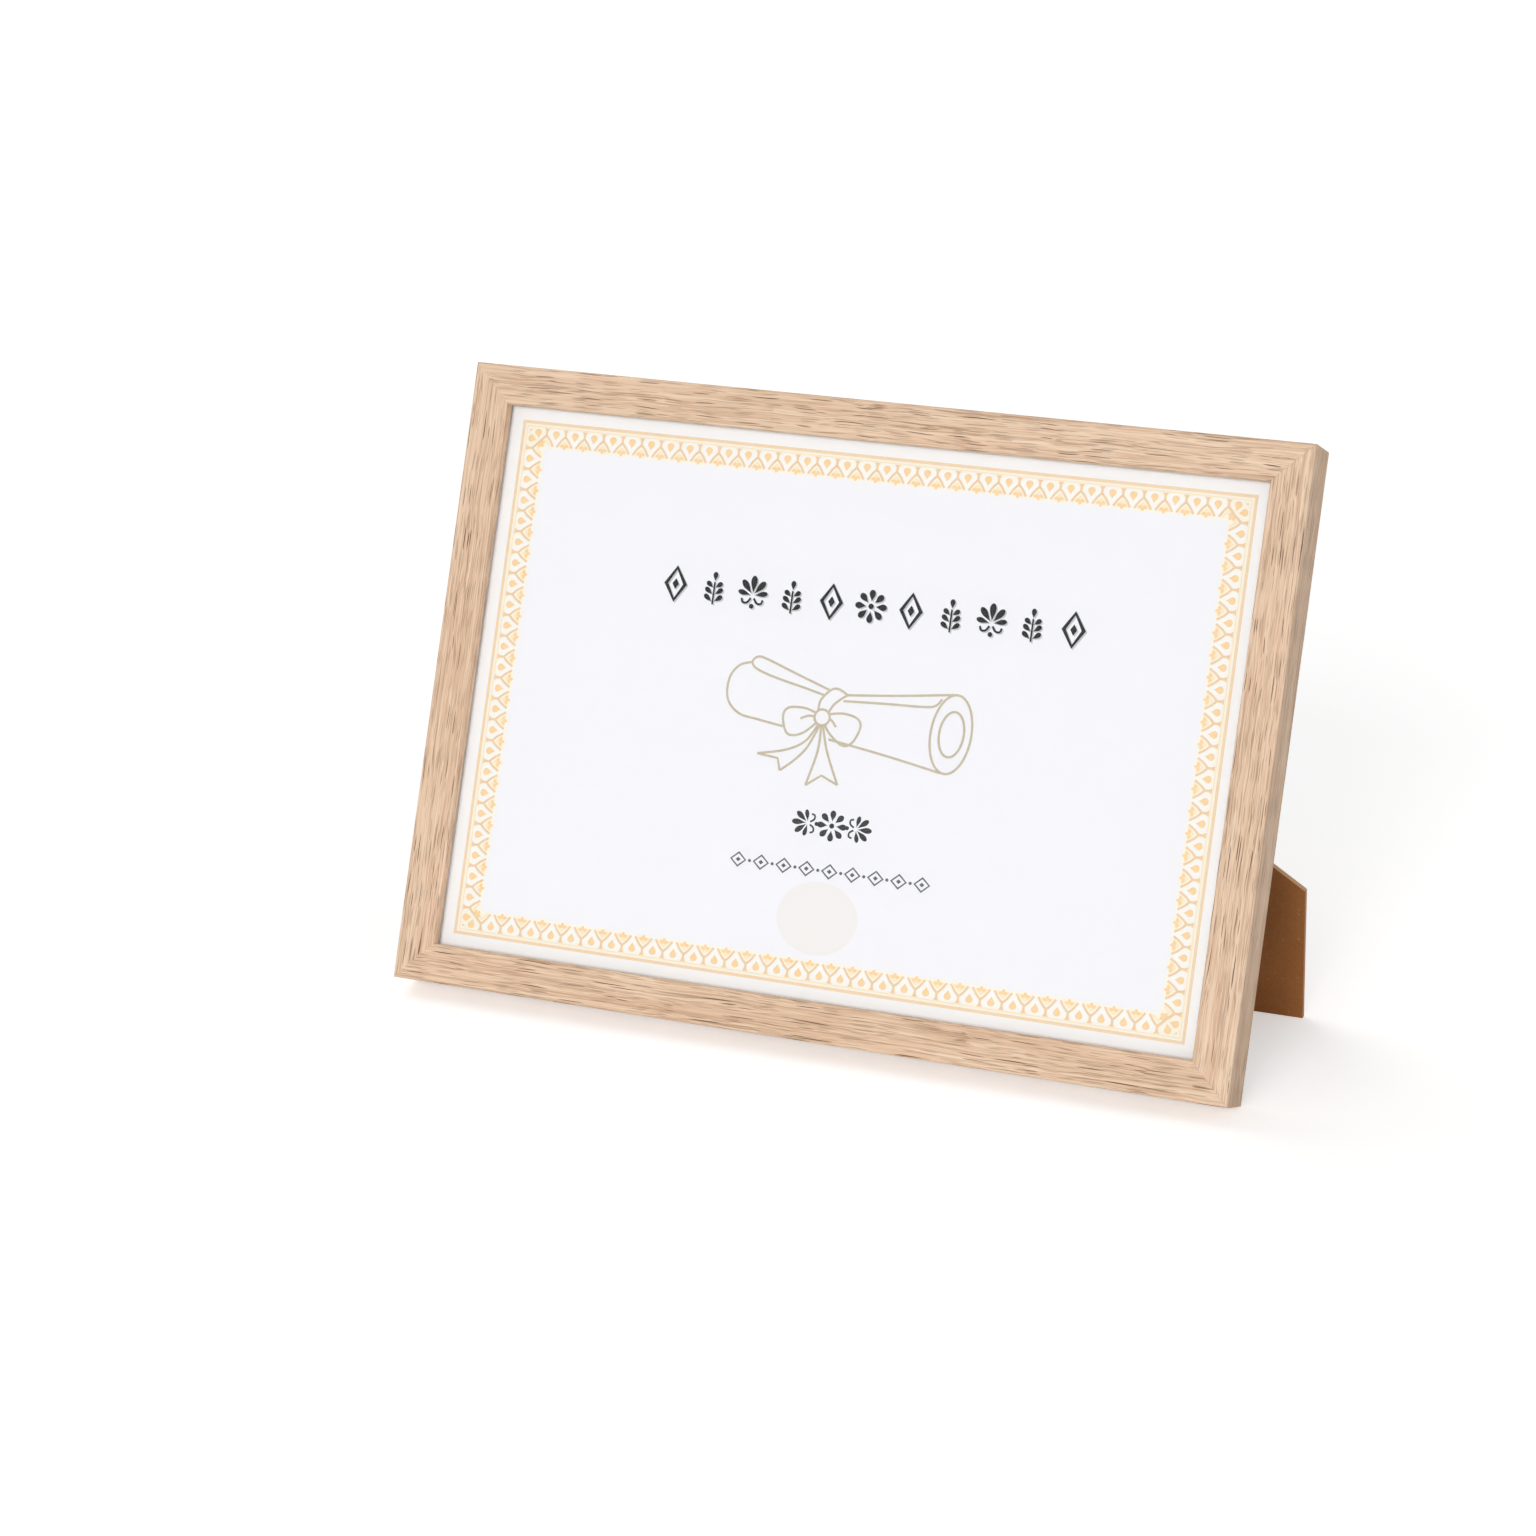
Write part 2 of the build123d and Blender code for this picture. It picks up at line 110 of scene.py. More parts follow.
class Shader:
    """A new material with short calls for adding nodes."""

    def __init__(self, name):
        self.material = bpy.data.materials.new(name)
        self.material.use_nodes = True
        self.tree = self.material.node_tree
        self.tree.nodes.clear()
        self.output = self.tree.nodes.new("ShaderNodeOutputMaterial")

    def node(self, kind, inputs=None, **settings):
        """Adds a node, with its settings and with values or sockets for its inputs."""
        node = self.tree.nodes.new("ShaderNode" + kind)
        for key, value in settings.items():
            setattr(node, key, value)
        for key, value in (inputs or {}).items():
            if isinstance(value, bpy.types.NodeSocket):
                self.tree.links.new(value, node.inputs[key])
            else:
                node.inputs[key].default_value = value
        return node

    def math(self, operation, first, second=0.0):
        """One sum of two values or sockets."""
        return self.node("Math", {0: first, 1: second}, operation=operation).outputs[0]

    def largest(self, values):
        """The largest of several values."""
        result = values[0]
        for value in values[1:]:
            result = self.math("MAXIMUM", result, value)
        return result

    def rescale(self, value, low, high, to_low=0.0, to_high=1.0):
        """Maps a value smoothly from one range to another."""
        inputs = {"Value": value, "From Min": low, "From Max": high, "To Min": to_low, "To Max": to_high}
        return self.node("MapRange", inputs, interpolation_type="SMOOTHSTEP").outputs[0]

    def mix(self, factor, first, second):
        """Two colours mixed by a factor."""
        inputs = dict(zip(MIX_INPUTS, (factor, first, second)))
        return self.node("Mix", inputs, data_type="RGBA").outputs[MIX_OUTPUT]

    def stretched(self, vector, scale):
        """A place scaled differently along each axis."""
        return self.node("VectorMath", {0: vector, 1: scale}, operation="MULTIPLY").outputs[0]

    def noise(self, vector, scale=1.0, detail=3.0, roughness=0.5, distortion=0.0):
        """Soft noise from 0 to 1."""
        inputs = {
            "Vector": vector,
            "Scale": scale,
            "Detail": detail,
            "Roughness": roughness,
            "Distortion": distortion,
        }
        return self.node("TexNoise", inputs).outputs[0]

    def bump(self, height, strength, distance):
        """A normal tilted by a height."""
        inputs = {"Height": height, "Strength": strength, "Distance": distance}
        return self.node("Bump", inputs).outputs[0]

    def finish(self, shader):
        """Links the last shader to the output and gives the material back."""
        self.tree.links.new(shader, self.output.inputs["Surface"])
        return self.material


def frame_coordinates(shader, turn=0.0, offset=(0.0, 0.0, 0.0), lean=LEAN):
    """Object coordinates in millimetres, leaned upright, and turned about Y for upright grain."""
    raw = shader.node("TexCoord").outputs["Object"]
    inputs = {"Vector": raw, "Location": offset, "Rotation": (lean, turn, 0.0), "Scale": (1 / MM,) * 3}
    return shader.node("Mapping", inputs).outputs[0]


# Oak: its colours, then how often each layer of its grain repeats in a millimetre, along and across
OAK_LIGHT = (0.832, 0.604, 0.427, 1.0)
OAK_MIDDLE = (0.740, 0.511, 0.345, 1.0)
OAK_DARK = (0.580, 0.362, 0.226, 1.0)
OAK_PORE = (0.150, 0.064, 0.029, 1.0)
OAK_BLUSH = (0.826, 0.555, 0.383, 1.0)
OAK_GLINT = (0.925, 0.720, 0.536, 1.0)
OAK_BANDS = (0.004, 0.14, 0.14)
OAK_STREAKS = (0.009, 0.95, 0.95)
OAK_FIBRES = (0.024, 2.6, 2.6)
OAK_BLUSHES = (0.014, 0.10, 0.10)
OAK_LINES = (0.006, 0.50, 0.50)
OAK_LINE_BREAKS = (0.022, 0.34, 0.34)
OAK_LINE_WIDTH = 0.022
OAK_LINE_RARITY = 0.47
OAK_LINE_STRENGTH = 0.40
# Pale and dark dashes: how often they may come, how far each reaches, how rare it is, and its strength
OAK_GLINTS = ((0.034, 1.70, 1.70), 0.46, 0.55, 0.45)
OAK_PORES = (
    ((0.080, 2.20, 2.20), 0.42, 0.44, 0.36),
    ((0.046, 1.50, 1.50), 0.30, 0.64, 0.74),
    ((0.026, 1.05, 1.05), 0.22, 0.66, 0.95),
)
# The grain's slow drift from side to side, in millimetres at most, and how often it turns
GRAIN_WANDER = 1.6
GRAIN_WANDER_TURNS = (0.009, 0.030, 0.030)
GRAIN_BUMP = 0.7
GRAIN_DEPTH = 0.5 * MM
STREAK_DETAIL = {"detail": 3.0, "roughness": 0.62}
STREAK_RELIEF = 0.6
FIBRE_RELIEF = 0.5
MARK_RELIEF = 0.5
OAK_ROUGHNESS = (0.50, 0.66)
OAK_SPECULAR = 0.30
# A noise's middle, the range that most of its values lie in, and a narrower one for stronger contrast
NOISE_MIDDLE = 0.5
NOISE_RANGE = (0.3, 0.7)
NARROW_RANGE = (0.35, 0.65)
# How softly marks and lines fade in
MARK_CORE = 0.65
MARK_FADE = 0.08
LINE_CORE = 0.25
LINE_FADE = 0.09


def short_marks(s, place, cells, reach, rarity, strength):
    """Soft dashes along the grain: one in each stretched cell whose random value passes rarity."""
    spots = s.node("TexVoronoi", {"Vector": s.stretched(place, cells), "Scale": 1.0, "Randomness": 1.0})
    chosen = s.node("SeparateColor", {"Color": spots.outputs["Color"]}).outputs[0]
    near = s.rescale(spots.outputs["Distance"], reach, reach * MARK_CORE)
    marks = s.math("MULTIPLY", near, s.rescale(chosen, rarity, rarity + MARK_FADE))
    return s.math("MULTIPLY", marks, strength)


def grain_lines(s, place):
    """Thin lines that follow the grain, broken where a second noise is low."""
    ridge = s.math("SUBTRACT", s.noise(s.stretched(place, OAK_LINES), detail=1.0), NOISE_MIDDLE)
    line = s.rescale(s.math("ABSOLUTE", ridge), OAK_LINE_WIDTH, OAK_LINE_WIDTH * LINE_CORE)
    breaks = s.noise(s.stretched(place, OAK_LINE_BREAKS), detail=2.0)
    where = s.rescale(breaks, OAK_LINE_RARITY, OAK_LINE_RARITY + LINE_FADE)
    return s.math("MULTIPLY", s.math("MULTIPLY", line, where), OAK_LINE_STRENGTH)


def wandering(s, place):
    """Moves the grain slowly from side to side along its length."""
    slow = s.node("TexNoise", {"Vector": s.stretched(place, GRAIN_WANDER_TURNS), "Detail": 1.0})
    middle = (NOISE_MIDDLE,) * 3
    drift = s.node("VectorMath", {0: slow.outputs[1], 1: middle}, operation="SUBTRACT").outputs[0]
    inputs = {0: drift, 1: (0.0, GRAIN_WANDER, GRAIN_WANDER), 2: place}
    return s.node("VectorMath", inputs, operation="MULTIPLY_ADD").outputs[0]


def oak(name, turn, offset):
    """Straight grained oak with its grain along X, or along the frame's height when turned."""
    s = Shader(name)
    place = wandering(s, frame_coordinates(s, turn, offset))
    bands = s.noise(s.stretched(place, OAK_BANDS), detail=1.0)
    streaks = s.noise(s.stretched(place, OAK_STREAKS), **STREAK_DETAIL)
    fibres = s.noise(s.stretched(place, OAK_FIBRES), detail=1.0)
    blushes = s.noise(s.stretched(place, OAK_BLUSHES), detail=1.0)
    tone = s.mix(s.rescale(bands, *NARROW_RANGE), OAK_MIDDLE, OAK_LIGHT)
    # Each layer tints the tone from where its value starts to where it is full
    for layer, start, full, strength, tint in (
        (blushes, 0.50, 0.68, 0.50, OAK_BLUSH),
        (streaks, 0.50, 0.30, 0.75, OAK_DARK),
        (streaks, 0.52, 0.70, 0.75, OAK_GLINT),
        (fibres, 0.50, 0.28, 0.60, OAK_DARK),
        (fibres, 0.54, 0.72, 0.60, OAK_GLINT),
    ):
        tone = s.mix(s.rescale(layer, start, full, 0.0, strength), tone, tint)
    tone = s.mix(short_marks(s, place, *OAK_GLINTS), tone, OAK_GLINT)
    marks = s.largest([short_marks(s, place, *pores) for pores in OAK_PORES] + [grain_lines(s, place)])
    colour = s.mix(marks, tone, OAK_PORE)
    height = s.math("MULTIPLY", streaks, STREAK_RELIEF)
    height = s.math("ADD", height, s.math("MULTIPLY", fibres, FIBRE_RELIEF))
    height = s.math("SUBTRACT", height, s.math("MULTIPLY", marks, MARK_RELIEF))
    inputs = {
        "Base Color": colour,
        "Roughness": s.rescale(streaks, *NOISE_RANGE, *OAK_ROUGHNESS),
        "Specular IOR Level": OAK_SPECULAR,
        "Normal": s.bump(height, GRAIN_BUMP, GRAIN_DEPTH),
    }
    return s.finish(s.node("BsdfPrincipled", inputs).outputs[0])


# Printed paper: its field inside the printed border, its margin, and a trace of grey fibre. The margin's white is
# raised past the paper's own as painted light against the shade of the rails' lips
PAPER_FIELD = (0.945, 0.935, 0.975, 1.0)
PAPER_MARGIN_AND_PAINTED_LIGHT = (0.988, 0.984, 0.995, 1.0)
PAPER_FIBRE = (0.80, 0.80, 0.80, 1.0)
PAPER_FIBRE_SHARE = 0.03
PAPER_NOISE = {"scale": 0.9, "detail": 6.0, "roughness": 0.7}
PAPER_ROUGHNESS = 0.62
PAPER_SPECULAR = 0.25
PAPER_BUMP = 0.12
PAPER_DEPTH = 0.03 * MM
BORDER_INSET = 8.15


def paper():
    """Smooth heavy paper with a faint cool tint inside the printed border."""
    s = Shader("paper")
    raw = s.node("TexCoord").outputs["Object"]
    centre = tuple(-c / MM for c in Matrix.Rotation(LEAN, 3, "X") @ SHEET_MIDDLE)
    inputs = {"Vector": raw, "Location": centre, "Rotation": (LEAN, 0.0, 0.0), "Scale": (1 / MM,) * 3}
    place = s.node("Mapping", inputs).outputs[0]
    split = s.node("SeparateXYZ", {"Vector": place})
    across = s.math("ABSOLUTE", split.outputs["X"])
    along = s.math("ABSOLUTE", split.outputs["Z"])
    inside_x = s.math("LESS_THAN", across, SHEET_LENGTH / 2 - BORDER_INSET)
    inside_y = s.math("LESS_THAN", along, SHEET_HEIGHT / 2 - BORDER_INSET)
    # The margin is paper white raised as painted light against the rails' shade; the field keeps its printed cool
    # tint
    tint = s.mix(s.math("MULTIPLY", inside_x, inside_y), PAPER_MARGIN_AND_PAINTED_LIGHT, PAPER_FIELD)
    fibre = s.noise(place, **PAPER_NOISE)
    colour = s.mix(s.rescale(fibre, *NOISE_RANGE, 0.0, PAPER_FIBRE_SHARE), tint, PAPER_FIBRE)
    inputs = {
        "Base Color": colour,
        "Roughness": PAPER_ROUGHNESS,
        "Specular IOR Level": PAPER_SPECULAR,
        "Normal": s.bump(fibre, PAPER_BUMP, PAPER_DEPTH),
    }
    return s.finish(s.node("BsdfPrincipled", inputs).outputs[0])


# Ink: how its density varies, and its gloss
INK_NOISE = {"scale": 0.6, "detail": 4.0, "roughness": 0.7}
INK_ROUGHNESS = 0.45


def ink(name, colour, shade=0.10, specular=0.3):
    """Printed ink, slightly uneven in density: shade is how far it pales towards white."""
    s = Shader(name)
    place = frame_coordinates(s)
    density = s.noise(place, **INK_NOISE)
    paler = tuple(c + (1.0 - c) * shade for c in colour[:3]) + (1.0,)
    tone = s.mix(s.rescale(density, *NARROW_RANGE), colour, paler)
    inputs = {"Base Color": tone, "Roughness": INK_ROUGHNESS, "Specular IOR Level": specular}
    return s.finish(s.node("BsdfPrincipled", inputs).outputs[0])


# Glazing: its tint, its bend of light, and the share and roughness of its reflection
GLAZING_TINT = (0.997, 1.0, 0.999, 1.0)
GLAZING_IOR = 1.42
GLAZING_GLOSS = 0.4
GLAZING_ROUGHNESS = 0.04


def clear_glazing():
    """A clear flat pane: it passes light straight through and adds a faint reflection."""
    s = Shader("clear_glazing")
    fresnel = s.node("Fresnel", {"IOR": GLAZING_IOR}).outputs[0]
    clear = s.node("BsdfTransparent", {"Color": GLAZING_TINT}).outputs[0]
    gloss = s.node("BsdfGlossy", {"Color": WHITE, "Roughness": GLAZING_ROUGHNESS}).outputs[0]
    share = s.math("MULTIPLY", fresnel, GLAZING_GLOSS)
    return s.finish(s.node("MixShader", {0: share, 1: clear, 2: gloss}).outputs[0])


# Hardboard: its layers of noise, how much each counts in its tone, and its flecks
BOARD_CLOUDS = {"scale": 0.05, "detail": 4.0, "roughness": 0.6}
BOARD_MAT = {"scale": 0.9, "detail": 8.0, "roughness": 0.85, "distortion": 1.2}
BOARD_GRIT = {"scale": 1.8, "detail": 4.0, "roughness": 0.8}
CLOUD_SHARE = 0.30
MAT_SHARE = 0.30
GRIT_SHARE = 0.40
FIBRE_RANGE = (0.36, 0.64)
BOARD_FLECKS = ((0.35, 1.4, 0.9), 0.22, 0.86, 0.5)
# How far a face turns sideways or upwards before it turns paler, and the least and most paleness: edge wear with a
# painted highlight, strongest on faces that turn upwards
SIDEWAYS_WEAR_AND_HIGHLIGHT = (0.3, 0.55, 0.0, 0.25)
UPWARD_WEAR_AND_HIGHLIGHT = (0.45, 0.70, 0.0, 0.62)
GRIT_RELIEF = 0.4
BOARD_ROUGHNESS = (0.52, 0.72)
BOARD_SPECULAR = 0.3
BOARD_BUMP = 0.3
BOARD_DEPTH = 0.12 * MM
# Card
CARD_NOISE = {"scale": 0.7, "detail": 6.0, "roughness": 0.7}
CARD_ROUGHNESS = 0.8
CARD_BUMP = 0.2
CARD_DEPTH = 0.05 * MM


def hardboard(name, light, dark, fleck, wear_and_highlight=None):
    """Pressed wood fibre: matted fibres, soft clouds, pale flecks, and, where given, paler edges: wear with a
    painted highlight, strongest on faces that turn upwards.
    """
    s = Shader(name)
    place = frame_coordinates(s, lean=0.0)
    clouds = s.noise(place, **BOARD_CLOUDS)
    mat = s.noise(place, **BOARD_MAT)
    grit = s.noise(place, **BOARD_GRIT)
    tone = s.math("MULTIPLY", s.rescale(clouds, *NOISE_RANGE), CLOUD_SHARE)
    for layer, share in ((mat, MAT_SHARE), (grit, GRIT_SHARE)):
        tone = s.math("ADD", tone, s.math("MULTIPLY", s.rescale(layer, *FIBRE_RANGE), share))
    colour = s.mix(tone, dark, light)
    colour = s.mix(short_marks(s, place, *BOARD_FLECKS), colour, fleck)
    # Paler edges: partly wear, and partly a painted highlight on faces that turn upwards, where light falls from
    # above
    if wear_and_highlight:
        normal = s.node("TexCoord").outputs["Normal"]
        split = s.node("SeparateXYZ", {"Vector": normal})
        sideways = s.rescale(s.math("ABSOLUTE", split.outputs["X"]), *SIDEWAYS_WEAR_AND_HIGHLIGHT)
        upwards = s.rescale(split.outputs["Z"], *UPWARD_WEAR_AND_HIGHLIGHT)
        colour = s.mix(s.math("MAXIMUM", sideways, upwards), colour, wear_and_highlight)
    height = s.math("ADD", mat, s.math("MULTIPLY", grit, GRIT_RELIEF))
    inputs = {
        "Base Color": colour,
        "Roughness": s.rescale(mat, *NOISE_RANGE, *BOARD_ROUGHNESS),
        "Specular IOR Level": BOARD_SPECULAR,
        "Normal": s.bump(height, BOARD_BUMP, BOARD_DEPTH),
    }
    return s.finish(s.node("BsdfPrincipled", inputs).outputs[0])


def card(name, light, dark):
    """Plain board or card, with a faint fibre."""
    s = Shader(name)
    place = frame_coordinates(s)
    fibre = s.noise(place, **CARD_NOISE)
    inputs = {
        "Base Color": s.mix(s.rescale(fibre, *NOISE_RANGE), dark, light),
        "Roughness": CARD_ROUGHNESS,
        "Normal": s.bump(fibre, CARD_BUMP, CARD_DEPTH),
    }
    return s.finish(s.node("BsdfPrincipled", inputs).outputs[0])


# Plated metal: its rolling lines and its spangle, how much that darkens, and how roughness varies
PLATING_LINES = (0.25, 9.0, 9.0)
PLATING_SPANGLE = {"scale": 0.45, "detail": 3.0, "roughness": 0.6}
PLATING_SHADE = 0.78
PLATING_SHADE_SHARE = 0.35
PLATING_SMOOTHER = 0.07
PLATING_ROUGHER = 0.09
PLATING_BUMP = 0.08
PLATING_DEPTH = 0.02 * MM


def plated_steel(name, colour, roughness):
    """Zinc plated sheet steel, with faint rolling lines and handling marks."""
    s = Shader(name)
    place = frame_coordinates(s, lean=0.0)
    rolling = s.noise(s.stretched(place, PLATING_LINES))
    spangle = s.noise(place, **PLATING_SPANGLE)
    darker = tuple(c * PLATING_SHADE for c in colour[:3]) + (1.0,)
    tone = s.mix(s.rescale(spangle, *NOISE_RANGE, 0.0, PLATING_SHADE_SHARE), colour, darker)
    smoothest, roughest = roughness - PLATING_SMOOTHER, roughness + PLATING_ROUGHER
    inputs = {
        "Base Color": tone,
        "Metallic": 1.0,
        "Roughness": s.rescale(rolling, *NOISE_RANGE, smoothest, roughest),
        "Normal": s.bump(rolling, PLATING_BUMP, PLATING_DEPTH),
    }
    return s.finish(s.node("BsdfPrincipled", inputs).outputs[0])


# Pieces made from the CAD nodes, with their sharp edges eased
EASE_ANGLE = math.radians(28)
EASE_SEGMENTS = 2
WELD = 0.002 * MM
FLAT_ANGLE = math.radians(0.5)


def paint(piece, material):
    """Gives a piece one material."""
    piece.data.materials.clear()
    piece.data.materials.append(material)


def eased(node, body, material, width):
    """A copy of a CAD node with its sharp edges bevelled, which stands for the node."""
    mesh = frame["nodes"][node].data.copy()
    mesh.name = node + "_eased"
    piece = added(node + "_eased", mesh)
    if "custom_normal" in mesh.attributes:
        mesh.attributes.remove(mesh.attributes["custom_normal"])
    work = bmesh.new()
    work.from_mesh(mesh)
    bmesh.ops.remove_doubles(work, verts=work.verts, dist=WELD)
    bmesh.ops.dissolve_limit(work, angle_limit=FLAT_ANGLE, verts=work.verts, edges=work.edges)
    work.to_mesh(mesh)
    work.free()
    bevel = piece.modifiers.new("ease", "BEVEL")
    bevel.width = width
    bevel.segments = EASE_SEGMENTS
    bevel.limit_method = "ANGLE"
    bevel.angle_limit = EASE_ANGLE
    mesh.shade_smooth()
    mesh.set_sharp_from_angle(angle=EASE_ANGLE)
    paint(piece, material)
    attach(piece, body)
    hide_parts(node)


# Flat printed shapes, drawn in millimetres from the middle of the sheet
PRINT_LIFT = 0.02
PRINT_SINK = 0.02
LAYER_STEP = 0.004
PRINT_WELD = 0.0005 * MM


def printed(name, layers, material, lift=PRINT_LIFT):
    """Thin ink that sinks into the paper, in layers.

    Each layer is a list of flat faces, and each face a list of (x, y) points.
    """
    work = bmesh.new()
    for index, layer in enumerate(layers):
        height = (lift + index * LAYER_STEP) * MM
        own = []
        for face in layer:
            corners = [SHEET_MIDDLE + ACROSS * x * MM + UP * y * MM - BACK * height for x, y in face]
            made = work.faces.new([work.verts.new(corner) for corner in corners])
            made.normal_update()
            if made.normal.dot(BACK) > 0:
                made.normal_flip()
            own += made.verts
        bmesh.ops.remove_doubles(work, verts=own, dist=PRINT_WELD)
    bmesh.ops.triangulate(work, faces=[f for f in work.faces if len(f.verts) > 4], ngon_method="EAR_CLIP")
    mesh = bpy.data.meshes.new(name)
    work.to_mesh(mesh)
    work.free()
    piece = added(name, mesh)
    body = piece.modifiers.new("thickness", "SOLIDIFY")
    body.thickness = (lift + PRINT_SINK) * MM
    body.offset = -1.0
    paint(piece, material)
    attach(piece, ROOT)


def smooth(points, steps=8):
    """A curve through a few points, with even steps between each pair."""
    last = len(points) - 1
    curve = []
    for index in range(last):
        a, b, c, d = (Vector(points[min(max(index + k - 1, 0), last)]) for k in range(4))
        for step in range(steps):
            t = step / steps
            place = 2 * b + (c - a) * t
            place += (2 * a - 5 * b + 4 * c - d) * t**2
            place += (3 * b - a - 3 * c + d) * t**3
            curve.append(0.5 * place)
    curve.append(Vector(points[-1]))
    return [(p.x, p.y) for p in curve]


def ribbon(line, width, closed=False):
    """Quads of a stroke of even width."""
    count = len(line)
    half = width / 2
    left, right = [], []
    for index, point in enumerate(line):
        before = line[(index - 1) % count] if closed or index else point
        after = line[(index + 1) % count] if closed or index < count - 1 else point
        along = Vector((after[0] - before[0], after[1] - before[1])).normalized()
        left.append((point[0] - along.y * half, point[1] + along.x * half))
        right.append((point[0] + along.y * half, point[1] - along.x * half))
    stops = range(count if closed else count - 1)
    return [[left[i], left[(i + 1) % count], right[(i + 1) % count], right[i]] for i in stops]


def moved(face, x, y, turn=0.0, size=1.0):
    """A face or line turned, scaled and moved."""
    cos, sin = math.cos(turn) * size, math.sin(turn) * size
    return [(x + px * cos - py * sin, y + px * sin + py * cos) for px, py in face]


def oval(x, y, radius_x, radius_y, count, turn=0.0):
    """Points of an ellipse."""
    angles = [2 * math.pi * index / count for index in range(count)]
    return moved([(radius_x * math.cos(a), radius_y * math.sin(a)) for a in angles], x, y, turn)


# The printed border: a double line, and a band of drops with stems, arms and flowers between them
BORDER_LINE = 1.15
BORDER_GAP = 0.70
BORDER_THIN_LINE = 0.42
BAND_GAP = 0.12
BAND_INSET = BORDER_INSET + BORDER_LINE + BORDER_GAP + BORDER_THIN_LINE + BAND_GAP
BAND_DEPTH = 7.3
BAND_SCALLOP = 0.45
DROPS_TOP = 36
DROPS_BOTTOM = 34
DROPS_SIDE = 24
DROP_HEIGHT = 6.9
DROP_WIDEST_AT = 2.35
DROP_MARGIN = 0.45
DROP_FOOT = 0.1
STEM_WIDTH = 0.85
STEM_END = 2.9
# A stem's side, as shares of its half width with their depths
STEM_SIDE = ((2.8, 0.05), (1.6, 0.55), (1.0, 1.3), (1.0, STEM_END))
ARM_WIDTH = 0.85
ARM_DEPTH = 6.6
ARM_STEPS = 4
ARM_SINK = 0.3
# Where an arm bends: a share of half the pitch, and how far past the stem's end
ARM_BEND = (0.42, 1.4)
ARM_TIP_GAP = 0.8
FLOWER_DEPTH = 5.35
BUD_FOOT = 0.70
BUD_HEIGHT = 3.7
BUD_HALF = 1.4
CHEVRON_WIDTH = 0.8
CHEVRON_FOOT = 4.5
CHEVRON_TIP = 6.5
CHEVRON_GAP = 1.9
PETAL_HEIGHT = 2.1
PETAL_HALF = 0.62
SIDE_PETAL_SHARE = 0.88
SIDE_PETAL_TURN = 0.95
# A corner's bud, as its place and turn, and its flower's place along the diagonal in pitches
CORNER_BUD = (3.9, 0.5, -0.25)
CORNER_FLOWER_AT = 0.86
CORNER_FLOWER_SINK = -1.6
CORNER_ARM_SINK = 0.2
CORNER_PALE_SHIFT = (0.3, 1.3)
# A corner's dots, each as its place, radius and count of corners
CORNER_DOTS = ((1.1, 1.1, 0.45, 10), (2.1, 0.5, 0.2, 8), (0.5, 2.1, 0.2, 8))
DROP_BULGE = 0.72
CURVE_STEPS = 9
SCALLOP_STEPS = 6
# How high each printed layer stands over the sheet, so that crossing shapes never share a plane
BORDER_LIFTS = {
    "ground": 0.010,
    "drops": 0.016,
    "chevrons": 0.022,
    "buds": 0.022,
    "arms": 0.028,
    "stems": 0.042,
    "flowers": 0.048,
}


def drop_half_width(depth, height, widest_at, half):
    """Half the width of a drop at a depth: round at its foot, drawn in to a point at its height."""
    if depth <= widest_at:
        return half * math.sqrt(max(0.0, 1 - ((widest_at - depth) / widest_at) ** 2))
    share = (depth - widest_at) / (height - widest_at)
    bulge = (math.cos(math.pi * share) + 1) / 2
    return half * (DROP_BULGE * bulge + (1 - DROP_BULGE) * (1 - share))


def drop(centre, foot, height, half):
    """The outline of one drop, with its round foot at the given depth."""
    widest = height * DROP_WIDEST_AT / DROP_HEIGHT
    depths = [height * (1 - math.cos(math.pi * k / CURVE_STEPS)) / 2 for k in range(CURVE_STEPS + 1)]
    one = [(centre + drop_half_width(d, height, widest, half), foot + d) for d in depths]
    other = [(centre - drop_half_width(d, height, widest, half), foot + d) for d in reversed(depths[1:-1])]
    return one + other


def stem(at):
    """The stem between two drops, wider where their round feet part."""
    side = [(share * STEM_WIDTH / 2, depth) for share, depth in STEM_SIDE]
    return [[(at + x, y) for x, y in side] + [(at - x, y) for x, y in reversed(side)]]


def arms(at, half_pitch):
    """Two arms that spread from the foot of a stem towards the drops' points."""
    share, past_stem = ARM_BEND
    root = (0.0, STEM_END - ARM_SINK)
    bend = (share * half_pitch, STEM_END + past_stem)
    tip = (half_pitch - ARM_TIP_GAP, ARM_DEPTH)
    line = smooth([root, bend, tip], steps=ARM_STEPS)
    faces = []
    for side in (-1, 1):
        faces += ribbon([(at + side * x, y) for x, y in line], ARM_WIDTH)
    return faces


def chevron(at, half_pitch):
    """A pale angle inside the two arms."""
    reach = half_pitch - CHEVRON_GAP
    line = [(at - reach, CHEVRON_TIP), (at, CHEVRON_FOOT), (at + reach, CHEVRON_TIP)]
    return ribbon(line, CHEVRON_WIDTH)


def flower(at, depth):
    """Three small petals that open inwards."""
    middle = [(x, PETAL_HEIGHT - y) for x, y in drop(0.0, 0.0, PETAL_HEIGHT, PETAL_HALF)]
    side = [(x, y * SIDE_PETAL_SHARE) for x, y in middle]
    turns = (SIDE_PETAL_TURN, -SIDE_PETAL_TURN)
    return [moved(middle, at, depth)] + [moved(side, at, depth, turn) for turn in turns]


